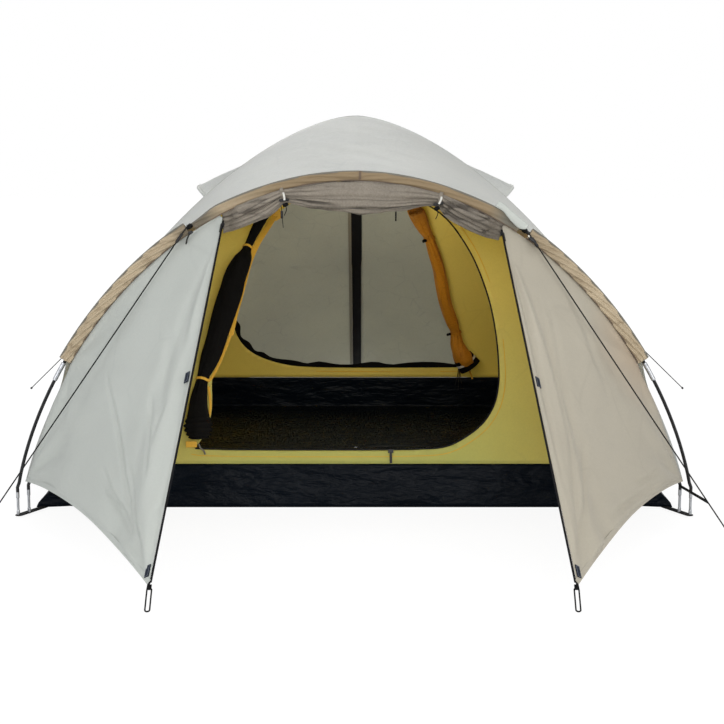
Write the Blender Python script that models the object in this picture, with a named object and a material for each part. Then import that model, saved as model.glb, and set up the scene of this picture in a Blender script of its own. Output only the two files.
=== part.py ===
"""Three-person dome tent: two crossed poles, a front arch pole, an inner tent and a fly with two vestibules.

Metres, +Z up. The front is towards -Y, and the floor's underside lies on Z = 0.
"""
from math import acos, asin, cos, exp, hypot, pi, sin

import bmesh
import bpy
from mathutils import Vector

# poles
POLE_DIAMETER = 0.011
MAIN_X = 1.065
MAIN_Y = 1.04
MAIN_TOP = 1.289
ARCH_OUTSIDE = 0.025
ARCH_FORWARD = 0.025
ARCH_TOP = 1.09
CROSSING_REACH = 0.09
POLE_END = 0.015
TIP_LENGTH = 0.08
TIP_SHOULDER = 0.012
TIP_PIN_DIAMETER = 0.006
FERRULE_WALL = 0.0012
FERRULE_LOW = 0.445
FERRULE_HIGH = 0.5

# inner tent
FLOOR_INSET_X = 0.015
FLOOR_INSET_Y = 0.09
INNER_TOP = 1.21
TUB_WALL = 0.142
TUB_CORNER = 0.02
FLOOR_THICKNESS = 0.003
FLOOR_EDGE = 0.03
FLOOR_EDGE_STEP = 0.0004
INNER_THICKNESS = 0.002
DOOR_HALF_WIDTH = 0.48
DOOR_SILL = 0.19
DOOR_TOP = 1.02
DOOR_WIDEST_AT = 0.45
INNER_ZIP_WIDTH = 0.014
INNER_ZIP_THICKNESS = 0.002

# fly
FLY_CLEARANCE = 0.0013
FLY_THICKNESS = 0.0025
FLY_HEM = 0.11
REAR_PEG_Y = 1.72
REAR_PEG_HEIGHT = 0.055
REAR_ZIP_WIDTH = 0.048
SIDE_SAG = 0.012

# front vestibule
PEG_X = (-0.531, 0.586)
PEG_Y = 1.955
PEG_HEIGHT = 0.045
ZIP_TOP_X = (-0.417, 0.4705)
PANEL_FOOT_INSET = 0.052
PANEL_FOOT_HEIGHT = 0.116
PANEL_TURN = 0.68
ZIP_WIDTH = 0.007
ZIP_THICKNESS = 0.003
ZIP_TOP_FREE = 0.03
SLIDER_FROM_TOP = 0.048
SLIDER_BODY = 0.012
SLIDER_REACH = 0.0035
SLIDER_PLATE = 0.002
PULL_LENGTH = 0.034
REAR_SLIDER_FROM_TOP = 0.05
SILL_SLIDER_X = 0.12
TAB_WIDTH = 0.018
TAB_LENGTH = 0.045
TAB_INSET = 0.004
TAB_STANDS = 0.0025
TAB_SHARES = (0.483, 0.968)

# arch sleeve, radial and fore-and-aft half sizes
SLEEVE_RADIAL = 0.019
SLEEVE_PLAY = 0.0008
SLEEVE_WALL = 0.0022
SLEEVE_END_HEIGHT = 0.508
LEFT_GAP = (-0.524, -0.505)
RIGHT_GAP = (0.519, 0.549)

# rolled doors
ROLL_FLATNESS = 0.75
ROLL_HALF = 0.053
ROLL_DEPTH = 0.036
ROLL_ENDS = (-0.409, 0.462)
ROLL_TIES = (-0.214, 0.262)
TIE_PINCH = 0.03
ROLL_CLEARANCE = 0.0018

# the inner doors' rolls from the foot up: x, height and radius
FRONT_ROLL = (
    (-0.511, 0.224, 0.034),
    (-0.512, 0.250, 0.047),
    (-0.514, 0.289, 0.040),
    (-0.514, 0.349, 0.028),
    (-0.506, 0.405, 0.021),
    (-0.487, 0.455, 0.032),
    (-0.468, 0.510, 0.038),
    (-0.448, 0.575, 0.042),
    (-0.423, 0.664, 0.042),
    (-0.408, 0.715, 0.042),
    (-0.388, 0.775, 0.034),
    (-0.372, 0.825, 0.016),
    (-0.332, 0.908, 0.021),
    (-0.300, 0.955, 0.017),
)
REAR_ROLL = (
    (0.503, 0.222, 0.040),
    (0.485, 0.246, 0.047),
    (0.469, 0.273, 0.043),
    (0.454, 0.310, 0.034),
    (0.444, 0.368, 0.024),
    (0.427, 0.418, 0.029),
    (0.400, 0.491, 0.029),
    (0.382, 0.561, 0.030),
    (0.361, 0.656, 0.028),
    (0.338, 0.731, 0.027),
    (0.311, 0.807, 0.023),
    (0.286, 0.856, 0.032),
    (0.266, 0.895, 0.036),
)

# vent hoods
HOOD_ROW = 6
HOOD_LOW_U = 0.53
HOOD_HALF_WIDTH = 0.15
HOOD_LIFT = 0.075
HOOD_THICKNESS = 0.003

# lines and straps
LINE_DIAMETER = 0.0042
RUNNER_LENGTH = 0.032
RUNNER_FROM_TOP = (0.035, 0.12)
RUNNER_WIDTH = 0.012
RUNNER_THICKNESS = 0.008
STRAP_THICKNESS = 0.002
STRAP_WIDTH = 0.024
STRAP_HEIGHT = 0.004
EYELET_MARGIN = 0.006
STRAP_SEAT = 0.0001
LOOP_WIDTH = 0.011
POLE_LOOP_LENGTH = 0.014
CORNER_STRAP_WIDTH = 0.015
LOOP_OPEN = 0.008
LOOP_CORD = 0.0042
LOOP_TAB = 0.02
LOOP_SEWN = 0.006
LOOP_SEAT = 0.0006
LOOP_GROUND_X = (-0.523, 0.577)
LOOP_GROUND_Y = 2.05
REAR_LOOP_REACH = 0.12
FRONT_LINE_X = (-0.5145, 0.534)
FRONT_GROUND_OUT = (0.05, 0.355)
REAR_GROUND_OUT = (0.545, 0.41)
REAR_LINE_U = 0.56

# clearances
GAP = 0.0004
SEAM = 0.00035

# how finely curves are cut
ROWS = 18
COLUMNS = 8
ARCH_STEPS = 80
APEX_HOLE = 0.002

# sizes that follow from those above
RADIUS = POLE_DIAMETER / 2
ARCH_X = MAIN_X + ARCH_OUTSIDE
ARCH_Y = MAIN_Y + ARCH_FORWARD
PANEL_FOOT_X = ARCH_X - PANEL_FOOT_INSET
FLOOR_X = MAIN_X - FLOOR_INSET_X
FLOOR_Y = MAIN_Y - FLOOR_INSET_Y
FRONT_GROUND = (ARCH_X + FRONT_GROUND_OUT[0], -ARCH_Y - FRONT_GROUND_OUT[1])
REAR_GROUND = (MAIN_X + REAR_GROUND_OUT[0], MAIN_Y + REAR_GROUND_OUT[1])
FLY_LIFT = RADIUS + FLY_CLEARANCE
SLEEVE_DEPTH = RADIUS + SLEEVE_PLAY + SLEEVE_WALL


def clear_scene():
    for old in list(bpy.data.objects):
        bpy.data.objects.remove(old)


def new_collection(name, hidden=False):
    collection = bpy.data.collections.new(name)
    bpy.context.scene.collection.children.link(collection)
    collection.hide_render = hidden
    return collection


def new_material(name, colour, metallic=0.0, roughness=0.6):
    material = bpy.data.materials.new(name)
    material.use_nodes = True
    shader = material.node_tree.nodes["Principled BSDF"]
    shader.inputs["Base Color"].default_value = (*colour, 1.0)
    shader.inputs["Metallic"].default_value = metallic
    shader.inputs["Roughness"].default_value = roughness
    material.diffuse_color = (*colour, 1.0)
    return material


def add_mesh(name, points, faces, material, collection):
    mesh = bpy.data.meshes.new(name)
    mesh.from_pydata([tuple(point) for point in points], [], faces)
    shape = bmesh.new()
    shape.from_mesh(mesh)
    bmesh.ops.remove_doubles(shape, verts=shape.verts, dist=0.00002)
    bmesh.ops.recalc_face_normals(shape, faces=shape.faces)
    shape.to_mesh(mesh)
    shape.free()
    mesh.materials.append(material)
    piece = bpy.data.objects.new(name, mesh)
    collection.objects.link(piece)
    return piece


def sheet(name, outer, inner, material, collection):
    """A closed sheet between two grids of points with as many rows and columns."""
    rows = len(outer)
    columns = len(outer[0])
    points = [point for row in outer for point in row]
    points += [point for row in inner for point in row]
    below = rows * columns
    faces = []
    for i in range(rows - 1):
        for j in range(columns - 1):
            a = i * columns + j
            quad = (a, a + 1, a + columns + 1, a + columns)
            faces.append(quad)
            faces.append(tuple(below + corner for corner in reversed(quad)))
    rim = [(0, j) for j in range(columns)]
    rim += [(i, columns - 1) for i in range(1, rows)]
    rim += [(rows - 1, j) for j in range(columns - 2, -1, -1)]
    rim += [(i, 0) for i in range(rows - 2, 0, -1)]
    rim = [i * columns + j for i, j in rim]
    for a, b in zip(rim, rim[1:] + rim[:1]):
        faces.append((a, b, below + b, below + a))
    return add_mesh(name, points, faces, material, collection)


def loft(name, rings, material, collection, hollow=False):
    """A skin through rings of as many points: closed by flat ends, or joined end to end when hollow."""
    count = len(rings[0])
    points = [point for ring in rings for point in ring]
    pairs = list(zip(range(len(rings)), range(1, len(rings))))
    if hollow:
        pairs.append((len(rings) - 1, 0))
    faces = []
    for i, k in pairs:
        for j in range(count):
            n = (j + 1) % count
            faces.append((i * count + j, i * count + n, k * count + n, k * count + j))
    if not hollow:
        faces.append(tuple(range(count)))
        faces.append(tuple((len(rings) - 1) * count + j for j in range(count)))
    return add_mesh(name, points, faces, material, collection)


def rod(name, path, radius, material, collection, sides=2):
    """A round bar with flat ends along a path."""
    curve = bpy.data.curves.new(name, "CURVE")
    curve.dimensions = "3D"
    curve.bevel_depth = radius
    curve.bevel_resolution = sides
    curve.use_fill_caps = True
    spline = curve.splines.new("POLY")
    spline.points.add(len(path) - 1)
    for point, place in zip(spline.points, path):
        point.co = (*place, 1.0)
    curve.materials.append(material)
    bar = bpy.data.objects.new(name, curve)
    collection.objects.link(bar)
    return bar


def ring_round(centre, across, up, half_across, half_up, count=16, power=2.0):
    """Points of a rounded section: power 2 is an ellipse, and more is squarer."""
    points = []
    for k in range(count):
        angle = 2 * pi * k / count
        c = cos(angle)
        s = sin(angle)
        x = half_across * (1 if c >= 0 else -1) * abs(c) ** (2 / power)
        y = half_up * (1 if s >= 0 else -1) * abs(s) ** (2 / power)
        points.append(centre + across * x + up * y)
    return points


def cut(piece, cutter, operation="DIFFERENCE"):
    modifier = piece.modifiers.new("cut", "BOOLEAN")
    modifier.operation = operation
    modifier.solver = "EXACT"
    modifier.object = cutter


def hide_cutter(cutter):
    cutter.hide_render = True
    cutter.display_type = "WIRE"


def mix(a, b, share):
    return a + (b - a) * share


# the surface that the crossed poles carry: level lines between the poles, falling from one top


def dome_u(angle):
    return max(0.0, sin(angle)) ** 1.25


def dome_height(u, top):
    return top * max(0.0, 1.0 - abs(u) ** 1.6) ** (1 / 1.5)


def dome_u_at(height, top):
    return max(0.0, 1.0 - (height / top) ** 1.5) ** (1 / 1.6)


def arch_height(x, half, top):
    return top * max(0.0, 1.0 - (x / half) ** 2) ** (1 / 1.6)


def pole_rows(end):
    """The values of u that every piece over the poles shares, so that their facets run alike."""
    values = [dome_u(pi / 2 * k / ROWS) for k in range(1, ROWS)]
    return [APEX_HOLE] + [u for u in values if u < end - 0.02] + [end]


def main_foot():
    """Where a main pole meets its tip, seen from above."""
    u = dome_u_at(TIP_LENGTH + GAP, MAIN_TOP)
    return u * MAIN_X, u * MAIN_Y


def arch_foot_x():
    return ARCH_X * sin(arch_angle_at_height(TIP_LENGTH + GAP))


def main_pole(name, y_sign, drop, paint, parts):
    """One crossed pole. The lower one dips under the other at the top."""
    foot_x, foot_y = main_foot()
    low = TIP_LENGTH + GAP
    path = [Vector((-foot_x, -y_sign * foot_y, low)), Vector((-foot_x, -y_sign * foot_y, low + POLE_END))]
    for k in range(-ROWS, ROWS + 1):
        u = dome_u(abs(k) * pi / 2 / ROWS) * (1 if k >= 0 else -1)
        height = dome_height(u, MAIN_TOP)
        if height < low + 2 * POLE_END:
            continue
        x = u * MAIN_X
        path.append(Vector((x, y_sign * u * MAIN_Y, height - drop * exp(-((x / CROSSING_REACH) ** 2)))))
    path.append(Vector((foot_x, y_sign * foot_y, low + POLE_END)))
    path.append(Vector((foot_x, y_sign * foot_y, low)))
    return rod(name, path, RADIUS, paint, parts)


def arch_point(angle, inset=0.0):
    """The arch pole's centre line, moved inwards by inset, in its upright plane."""
    step = 0.001
    here = Vector((ARCH_X * sin(angle), 0, ARCH_TOP * max(0.0, cos(angle)) ** 1.25))
    a = angle - step
    b = angle + step
    before = Vector((ARCH_X * sin(a), 0, ARCH_TOP * max(0.0, cos(a)) ** 1.25))
    after = Vector((ARCH_X * sin(b), 0, ARCH_TOP * max(0.0, cos(b)) ** 1.25))
    along = (after - before).normalized()
    outward = Vector((-along.z, 0, along.x))
    centre = here - outward * inset
    centre.y = -ARCH_Y
    return centre, outward


def arch_angle_at_x(x):
    return asin(x / ARCH_X)


def arch_angle_at_height(height):
    return acos((height / ARCH_TOP) ** 0.8)


def arch_pole(paint, parts):
    low = TIP_LENGTH + GAP
    end = arch_angle_at_height(low + 2 * POLE_END)
    foot = arch_foot_x()
    path = [Vector((-foot, -ARCH_Y, low)), Vector((-foot, -ARCH_Y, low + POLE_END))]
    path += [arch_point(mix(-end, end, k / ARCH_STEPS))[0] for k in range(ARCH_STEPS + 1)]
    path += [Vector((foot, -ARCH_Y, low + POLE_END)), Vector((foot, -ARCH_Y, low))]
    return rod("arch_pole", path, RADIUS, paint, parts)


def tip(name, x, y, paint, parts):
    """A turned metal end: a shoulder that stands on the strap and a pin through its eyelet."""
    under = STRAP_HEIGHT + STRAP_THICKNESS + GAP
    steps = (
        (0.0005, TIP_PIN_DIAMETER / 2 - 0.001),
        (0.0025, TIP_PIN_DIAMETER / 2),
        (under, TIP_PIN_DIAMETER / 2),
        (under, RADIUS),
        (under + TIP_SHOULDER, RADIUS),
        (under + TIP_SHOULDER + 0.003, RADIUS - 0.0012),
        (TIP_LENGTH - 0.02, RADIUS - 0.0012),
        (TIP_LENGTH - 0.018, RADIUS),
        (TIP_LENGTH, RADIUS),
    )
    rings = []
    for height, radius in steps:
        rings.append(ring_round(Vector((x, y, height)), Vector((1, 0, 0)), Vector((0, 1, 0)), radius, radius, 12))
    return loft(name, rings, paint, parts)


def ferrule(name, side, paint, parts):
    """A metal ring over a joint of the arch pole, in line with it."""
    low = arch_angle_at_height(FERRULE_LOW) * side
    high = arch_angle_at_height(FERRULE_HIGH) * side
    across = Vector((0, 1, 0))
    bore = RADIUS + 2 * GAP
    sections = [arch_point(mix(low, high, k / 3)) for k in range(4)]
    outer = [ring_round(centre, outward, across, bore + FERRULE_WALL, bore + FERRULE_WALL, 12) for centre, outward in sections]
    inner = [ring_round(centre, outward, across, bore, bore, 12) for centre, outward in reversed(sections)]
    return loft(name, outer + inner, paint, parts, hollow=True)


def corner_strap(name, sx, sy, paint, parts):
    """A webbing tongue from the floor's corner, with an eyelet for each pole that ends there."""
    feet = [Vector((*main_foot(), 0))]
    if sy < 0:
        feet.append(Vector((arch_foot_x(), ARCH_Y, 0)))
    root = Vector((FLOOR_X - TUB_CORNER - STRAP_WIDTH / 2, FLOOR_Y, 0))
    target = sum(feet, Vector()) / len(feet)
    along = (target - root).normalized()
    across = Vector((-along.y, along.x, 0))
    end = root + along * max((foot - root).dot(along) for foot in feet)
    spread = max(abs((foot - root).dot(across)) for foot in feet)
    half = max(STRAP_WIDTH / 2, spread + TIP_PIN_DIAMETER / 2 + EYELET_MARGIN)
    start = root + along * ((FLOOR_Y - STRAP_SEAT + half * abs(across.y) - root.y) / along.y)
    outline = [start - across * half, end - across * half]
    for k in range(1, 8):
        angle = -pi / 2 + pi * k / 8
        outline.append(end + along * half * cos(angle) + across * half * sin(angle))
    outline += [end + across * half, start + across * half]
    curve = bpy.data.curves.new(name, "CURVE")
    curve.dimensions = "2D"
    curve.fill_mode = "BOTH"
    curve.extrude = STRAP_THICKNESS / 2
    shapes = [outline]
    hole = TIP_PIN_DIAMETER / 2 + GAP
    for foot in feet:
        shapes.append([foot + Vector((hole * cos(pi * k / 6), hole * sin(pi * k / 6), 0)) for k in range(12)])
    for shape in shapes:
        spline = curve.splines.new("POLY")
        spline.use_cyclic_u = True
        spline.points.add(len(shape) - 1)
        for point, place in zip(spline.points, shape):
            point.co = (sx * place.x, sy * place.y, 0, 1)
    curve.materials.append(paint)
    strap = bpy.data.objects.new(name, curve)
    strap.location = (0, 0, STRAP_HEIGHT + STRAP_THICKNESS / 2)
    parts.objects.link(strap)
    return strap


def rounded_rectangle(half_x, half_y, corner, height):
    points = []
    for quarter, (sx, sy) in enumerate(((1, 1), (-1, 1), (-1, -1), (1, -1))):
        for k in range(4):
            angle = (quarter + k / 3) * pi / 2
            x = sx * (half_x - corner) + corner * cos(angle)
            y = sy * (half_y - corner) + corner * sin(angle)
            points.append(Vector((x, y, height)))
    return points


def floor_sheet(name, paint, parts):
    """The flat floor, a little thinner in the edge strip that its upstand is sewn to."""
    seam_height = FLOOR_THICKNESS - FLOOR_EDGE_STEP
    corner = TUB_CORNER - INNER_THICKNESS
    panel_x = FLOOR_X - FLOOR_EDGE
    panel_y = FLOOR_Y - FLOOR_EDGE
    rings = [
        rounded_rectangle(FLOOR_X, FLOOR_Y, TUB_CORNER, 0),
        rounded_rectangle(FLOOR_X, FLOOR_Y, TUB_CORNER, seam_height),
        rounded_rectangle(panel_x, panel_y, corner, seam_height),
        rounded_rectangle(panel_x, panel_y, corner, FLOOR_THICKNESS),
    ]
    return loft(name, rings, paint, parts)


def floor_wall(name, paint, parts):
    """The floor's upstand: a wall all round that leans in as the inner tent does."""
    lean = dome_u_at(TUB_WALL, INNER_TOP)
    top_x = FLOOR_X * lean
    top_y = FLOOR_Y * lean
    wall = INNER_THICKNESS
    foot = FLOOR_THICKNESS - FLOOR_EDGE_STEP + SEAM
    rings = [
        rounded_rectangle(FLOOR_X, FLOOR_Y, TUB_CORNER, foot),
        rounded_rectangle(top_x, top_y, TUB_CORNER, TUB_WALL),
        rounded_rectangle(top_x - wall, top_y - wall, TUB_CORNER - wall, TUB_WALL),
        rounded_rectangle(FLOOR_X - wall, FLOOR_Y - wall, TUB_CORNER - wall, foot),
    ]
    return loft(name, rings, paint, parts, hollow=True)


def dome_quarter(name, side, half_x, half_y, top, end_height, thickness, paint, parts, sag=False, rise=0.0):
    """One of the four curved walls between two poles. side is (x, y) of the way that it faces."""
    end = dome_u_at(end_height, top)
    grids = []
    for inset in (0.0, thickness):
        x_half = half_x - inset
        y_half = half_y - inset * half_y / half_x
        height = top - inset
        grid = []
        for u in pole_rows(end):
            row = []
            for j in range(COLUMNS + 1):
                t = -1 + 2 * j / COLUMNS
                drawn = side_drawn(u, t, end) if sag else 0.0
                lifted = rise * (1 - t * t) * max(0.0, (u - 0.7) / (end - 0.7))
                z = dome_height(u, height)
                if u == end:
                    z = end_height
                if side[0]:
                    row.append(Vector((side[0] * (u * x_half - drawn + SEAM), t * u * y_half, z + lifted)))
                else:
                    row.append(Vector((t * u * x_half, side[1] * (u * y_half - drawn + SEAM), z + lifted)))
            grid.append(row)
        grids.append(grid)
    return sheet(name, grids[0], grids[1], paint, parts)


def fly_sizes(inset=0.0):
    """Half width, half depth and top of the fly's outer face, or of a face inset below it."""
    grow = FLY_LIFT + FLY_THICKNESS - inset
    half_x = MAIN_X + grow
    return half_x, half_x * MAIN_Y / MAIN_X, MAIN_TOP + RADIUS + GAP + FLY_THICKNESS - inset


def side_drawn(u, t, end):
    """How far a side of the fly is drawn in between its poles."""
    return SIDE_SAG * (1 - t * t) * sin(pi * min(1, u / end)) ** 2


def fly_side(name, side, paint, parts):
    half_x, half_y, top = fly_sizes()
    return dome_quarter(name, (side, 0), half_x, half_y, top, FLY_HEM, FLY_THICKNESS, paint, parts, True, 0.03)


def fly_front(paint, parts):
    """The roof from the poles to the arch: straight fore-and-aft lines between the two."""
    half_x, half_y, top = fly_sizes()
    end = dome_u_at(FLY_HEM, top)
    values = pole_rows(end)[1:]
    values = [-u for u in reversed(values)] + [0.0] + values
    front = ARCH_Y - SLEEVE_DEPTH - GAP
    grids = []
    for inset in (0.0, FLY_THICKNESS):
        a, b, height = fly_sizes(inset)
        grid = []
        for u in values:
            x = u * half_x
            share = min(abs(x) / a, dome_u_at(FLY_HEM - inset, height))
            back = Vector((x, -abs(x) * half_y / half_x - SEAM, dome_height(share, height)))
            over = Vector((x, -front, arch_height(min(abs(x), ARCH_X), ARCH_X, ARCH_TOP) + 0.004 - inset))
            grid.append([mix(back, over, k / COLUMNS) for k in range(COLUMNS + 1)])
        grids.append(grid)
    return sheet("fly_front", grids[0], grids[1], paint, parts)


def rear_ridge(inset=0.0):
    """Where the fly leaves the level lines between the poles and runs straight to the rear peg."""
    a, b, top = fly_sizes(inset)
    peg = Vector((0, REAR_PEG_Y, REAR_PEG_HEIGHT)) - Vector((0, 0.63, 0.78)) * inset
    best = None
    for k in range(1, 400):
        u = k / 400
        point = Vector((0, u * b, dome_height(u, top)))
        slope = (point.z - peg.z) / (peg.y - point.y)
        if best is None or slope > best[0]:
            best = (slope, u, point)
    return best[1], best[2], peg


def fly_rear(paint, parts, hidden):
    """The rear of the fly and its vestibule in one cloth, slit for the zip from the ridge to the peg."""
    half_x, half_y, top = fly_sizes()
    end = dome_u_at(FLY_HEM, top)
    turn, _, _ = rear_ridge()
    grids = []
    for inset in (0.0, FLY_THICKNESS):
        a, b, height = fly_sizes(inset)
        _, start, peg = rear_ridge(inset)
        grid = []
        for u in pole_rows(end):
            z = dome_height(u, height) if u < end else FLY_HEM - inset
            y = u * b + SEAM
            if u <= turn:
                middle = Vector((0, y, z))
            else:
                middle = mix(start, peg, (u - turn) / (end - turn))
            row = []
            for j in range(-COLUMNS, COLUMNS + 1):
                t = j / COLUMNS
                corner = Vector((u * a if t > 0 else -u * a, y, z))
                row.append(mix(middle, corner, abs(t)))
            grid.append(row)
        grids.append(grid)
    rear = sheet("fly_rear", grids[0], grids[1], paint, parts)
    start, peg = rear_ridge()[1:]
    along = (peg - start).normalized()
    middle = (start + peg) / 2 + along * 0.1
    length = (peg - start).length + 0.2
    across = Vector((1, 0, 0))
    normal = across.cross(along)
    half = REAR_ZIP_WIDTH / 2 + GAP
    rings = []
    for where in (-length / 2, length / 2):
        centre = middle + along * where
        rings.append([centre + across * half * sx + normal * 0.06 * sz for sx, sz in ((1, 1), (-1, 1), (-1, -1), (1, -1))])
    slit = loft("slit_cutter", rings, paint, hidden)
    hide_cutter(slit)
    cut(rear, slit)
    return rear


def bar(name, start, end, across, half_across, half_up, paint, parts, power=2.0, count=4):
    """A straight strip from start to end."""
    along = (end - start).normalized()
    side = (across - along * across.dot(along)).normalized()
    up = along.cross(side)
    rings = []
    for centre in (start, end):
        if count == 4:
            rings.append([centre + side * half_across * a + up * half_up * b for a, b in ((1, 1), (-1, 1), (-1, -1), (1, -1))])
        else:
            rings.append(ring_round(centre, side, up, half_across, half_up, count, power))
    return loft(name, rings, paint, parts)


def rear_zip_line():
    """Both ends of the rear zip's strip, along the ridge."""
    start, peg = rear_ridge()[1:]
    along = (peg - start).normalized()
    drop = Vector((0, 0, -FLY_THICKNESS / 2))
    return start + along * GAP + drop, peg - along * 0.004 + drop


def sleeve(name, x0, x1, paint, parts, low_start=False, low_end=False):
    """A flat tunnel of cloth round the arch pole, open at both ends."""
    a = -arch_angle_at_height(SLEEVE_END_HEIGHT) if low_start else arch_angle_at_x(x0)
    b = arch_angle_at_height(SLEEVE_END_HEIGHT) if low_end else arch_angle_at_x(x1)
    count = max(4, round((b - a) / pi * ARCH_STEPS))
    across = Vector((0, 1, 0))
    outer = []
    inner = []
    for k in range(count + 1):
        centre, outward = arch_point(mix(a, b, k / count))
        outer.append(ring_round(centre, across, outward, SLEEVE_DEPTH, SLEEVE_RADIAL, 12, 2.4))
        radial = SLEEVE_RADIAL - SLEEVE_WALL
        inner.append(ring_round(centre, across, outward, SLEEVE_DEPTH - SLEEVE_WALL, radial, 12, 2.4))
    return loft(name, outer + list(reversed(inner)), paint, parts, hollow=True)


def pole_loop(name, x, paint, parts):
    """Webbing round the arch pole in a gap of its sleeve, where a guy line ties on."""
    angle = arch_angle_at_x(x)
    centre, outward = arch_point(angle)
    along = Vector((outward.z, 0, -outward.x))
    across = Vector((0, 1, 0))
    inner = RADIUS + GAP
    outer = inner + STRAP_THICKNESS
    reach = POLE_LOOP_LENGTH / 2
    rings = []
    for where, radius in ((-reach, outer), (reach, outer), (reach, inner), (-reach, inner)):
        rings.append(ring_round(centre + along * where, outward, across, radius, radius, 16))
    return loft(name, rings, paint, parts, hollow=True)


def zip_ends(side):
    """The front zip's straight line, from under the arch to the peg corner."""
    top, _ = arch_point(arch_angle_at_x(ZIP_TOP_X[side > 0]), SLEEVE_RADIAL + 2 * GAP)
    return top, Vector((PEG_X[side > 0], -PEG_Y, PEG_HEIGHT))


def panel_edge(side, share):
    """The vestibule panel's edge on the arch, then straight down to the fly's corner."""
    first = arch_angle_at_x(ZIP_TOP_X[side > 0])
    last = side * arch_angle_at_height(SLEEVE_END_HEIGHT)
    turn = PANEL_TURN
    if share <= turn:
        return arch_point(mix(first, last, share / turn), SLEEVE_RADIAL + GAP)[0]
    corner, _ = arch_point(last, SLEEVE_RADIAL + GAP)
    foot = Vector((side * PANEL_FOOT_X, -ARCH_Y, PANEL_FOOT_HEIGHT))
    return mix(corner, foot, (share - turn) / (1 - turn))


def panel_normal(side):
    top, peg = zip_ends(side)
    foot = Vector((side * PANEL_FOOT_X, -ARCH_Y, PANEL_FOOT_HEIGHT))
    normal = (foot - top).cross(peg - top).normalized()
    return normal if normal.z > 0 else -normal


def vestibule_panel(name, side, paint, parts, hidden):
    """A front vestibule wall: straight lines from the arch to the zip, with a hem drawn up between its corners."""
    top, peg = zip_ends(side)
    normal = panel_normal(side)
    into = (top - peg).cross(normal).normalized()
    if into.x * side < 0:
        into = -into
    rows = 20
    outer = []
    for i in range(rows + 1):
        share = mix(0.03, 1, i / rows)
        edge = panel_edge(side, share)
        zip_point = mix(top, peg, share) + into * GAP
        row = []
        for k in range(COLUMNS + 1):
            t = k / COLUMNS
            point = mix(edge, zip_point, t)
            fold = 0.006 * sin(pi * t) * sin(3 * pi * t) * max(0.0, share - 0.3)
            arc = 0.05 * 4 * t * (1 - t) * max(0.0, share - 0.6) ** 2 / 0.16
            row.append(point + normal * fold + Vector((0, 0, arc)))
        outer.append(row)
    inner = [[point - normal * FLY_THICKNESS for point in row] for row in outer]
    panel = sheet(name, outer, inner, paint, parts)
    along = (peg - top).normalized()
    for n, share in enumerate(TAB_SHARES):
        centre = mix(top, peg, share) + into * (TAB_WIDTH / 2 + TAB_INSET)
        reach = along * TAB_LENGTH / 2
        tab = bar(f"{name}_tab_{n}", centre - reach, centre + reach, into, TAB_WIDTH / 2, TAB_STANDS, paint, hidden)
        hide_cutter(tab)
        cut(panel, tab, "UNION")
    return panel


def zip_frame(side):
    top, peg = zip_ends(side)
    along = (peg - top).normalized()
    normal = panel_normal(side)
    away = along.cross(normal).normalized()
    if away.x * side > 0:
        away = -away
    return top, peg, along, normal, away


def front_zip(name, side, paint, parts):
    """The zip's edge strip."""
    top, peg, along, normal, away = zip_frame(side)
    middle = -normal * FLY_THICKNESS / 2 + away * (ZIP_WIDTH / 2 + GAP)
    start = top + along * ZIP_TOP_FREE + middle
    end = peg - along * 0.005 + middle
    return bar(name, start, end, away, ZIP_WIDTH / 2, ZIP_THICKNESS / 2, paint, parts)


def front_slider(name, side, paint, parts, hidden):
    """The front zip's slider: a short channel that straddles the strip's free edge, its pull over the strip."""
    top, peg, along, normal, away = zip_frame(side)
    strip = top + along * SLIDER_FROM_TOP - normal * FLY_THICKNESS / 2 + away * (ZIP_WIDTH / 2 + GAP)
    centre = strip + away * (ZIP_WIDTH / 2 + GAP + SLIDER_PLATE - SLIDER_REACH)
    outer_up = ZIP_THICKNESS / 2 + GAP + SLIDER_PLATE
    reach = along * SLIDER_BODY / 2
    body = bar(name, centre - reach, centre + reach, away, SLIDER_REACH, outer_up, paint, parts)
    slot_centre = strip + away * GAP
    slot = bar(name + "_slot", slot_centre - 2 * reach, slot_centre + 2 * reach, away, ZIP_WIDTH / 2,
               ZIP_THICKNESS / 2 + GAP, paint, hidden)
    hide_cutter(slot)
    cut(body, slot)
    stud = bar(name + "_stud", centre + normal * (outer_up - 0.001), centre + normal * (outer_up + 0.002),
               away, 0.0015, 0.0015, paint, hidden)
    hide_cutter(stud)
    cut(body, stud, "UNION")
    pull_start = centre + normal * (outer_up + 0.0015) - along * 0.002
    pull = bar(name + "_pull", pull_start, pull_start + along * PULL_LENGTH, away, 0.003, 0.0012, paint, hidden)
    hide_cutter(pull)
    cut(body, pull, "UNION")
    return body


def rear_slider(paint, parts, hidden):
    """The rear zip's slider: a flat body on the strip's middle, with its pull."""
    start, end = rear_zip_line()
    along = (end - start).normalized()
    across = Vector((1, 0, 0))
    normal = across.cross(along)
    if normal.z < 0:
        normal = -normal
    place = start + along * REAR_SLIDER_FROM_TOP + normal * (FLY_THICKNESS / 2 + GAP + 0.003)
    body = bar("rear_slider", place - along * 0.009, place + along * 0.009, across, 0.006, 0.003, paint, parts)
    pull_start = place + normal * 0.0025
    pull = bar("rear_slider_pull", pull_start, pull_start + along * 0.05, across, 0.004, 0.0012, paint, hidden)
    hide_cutter(pull)
    cut(body, pull, "UNION")
    return body


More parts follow.
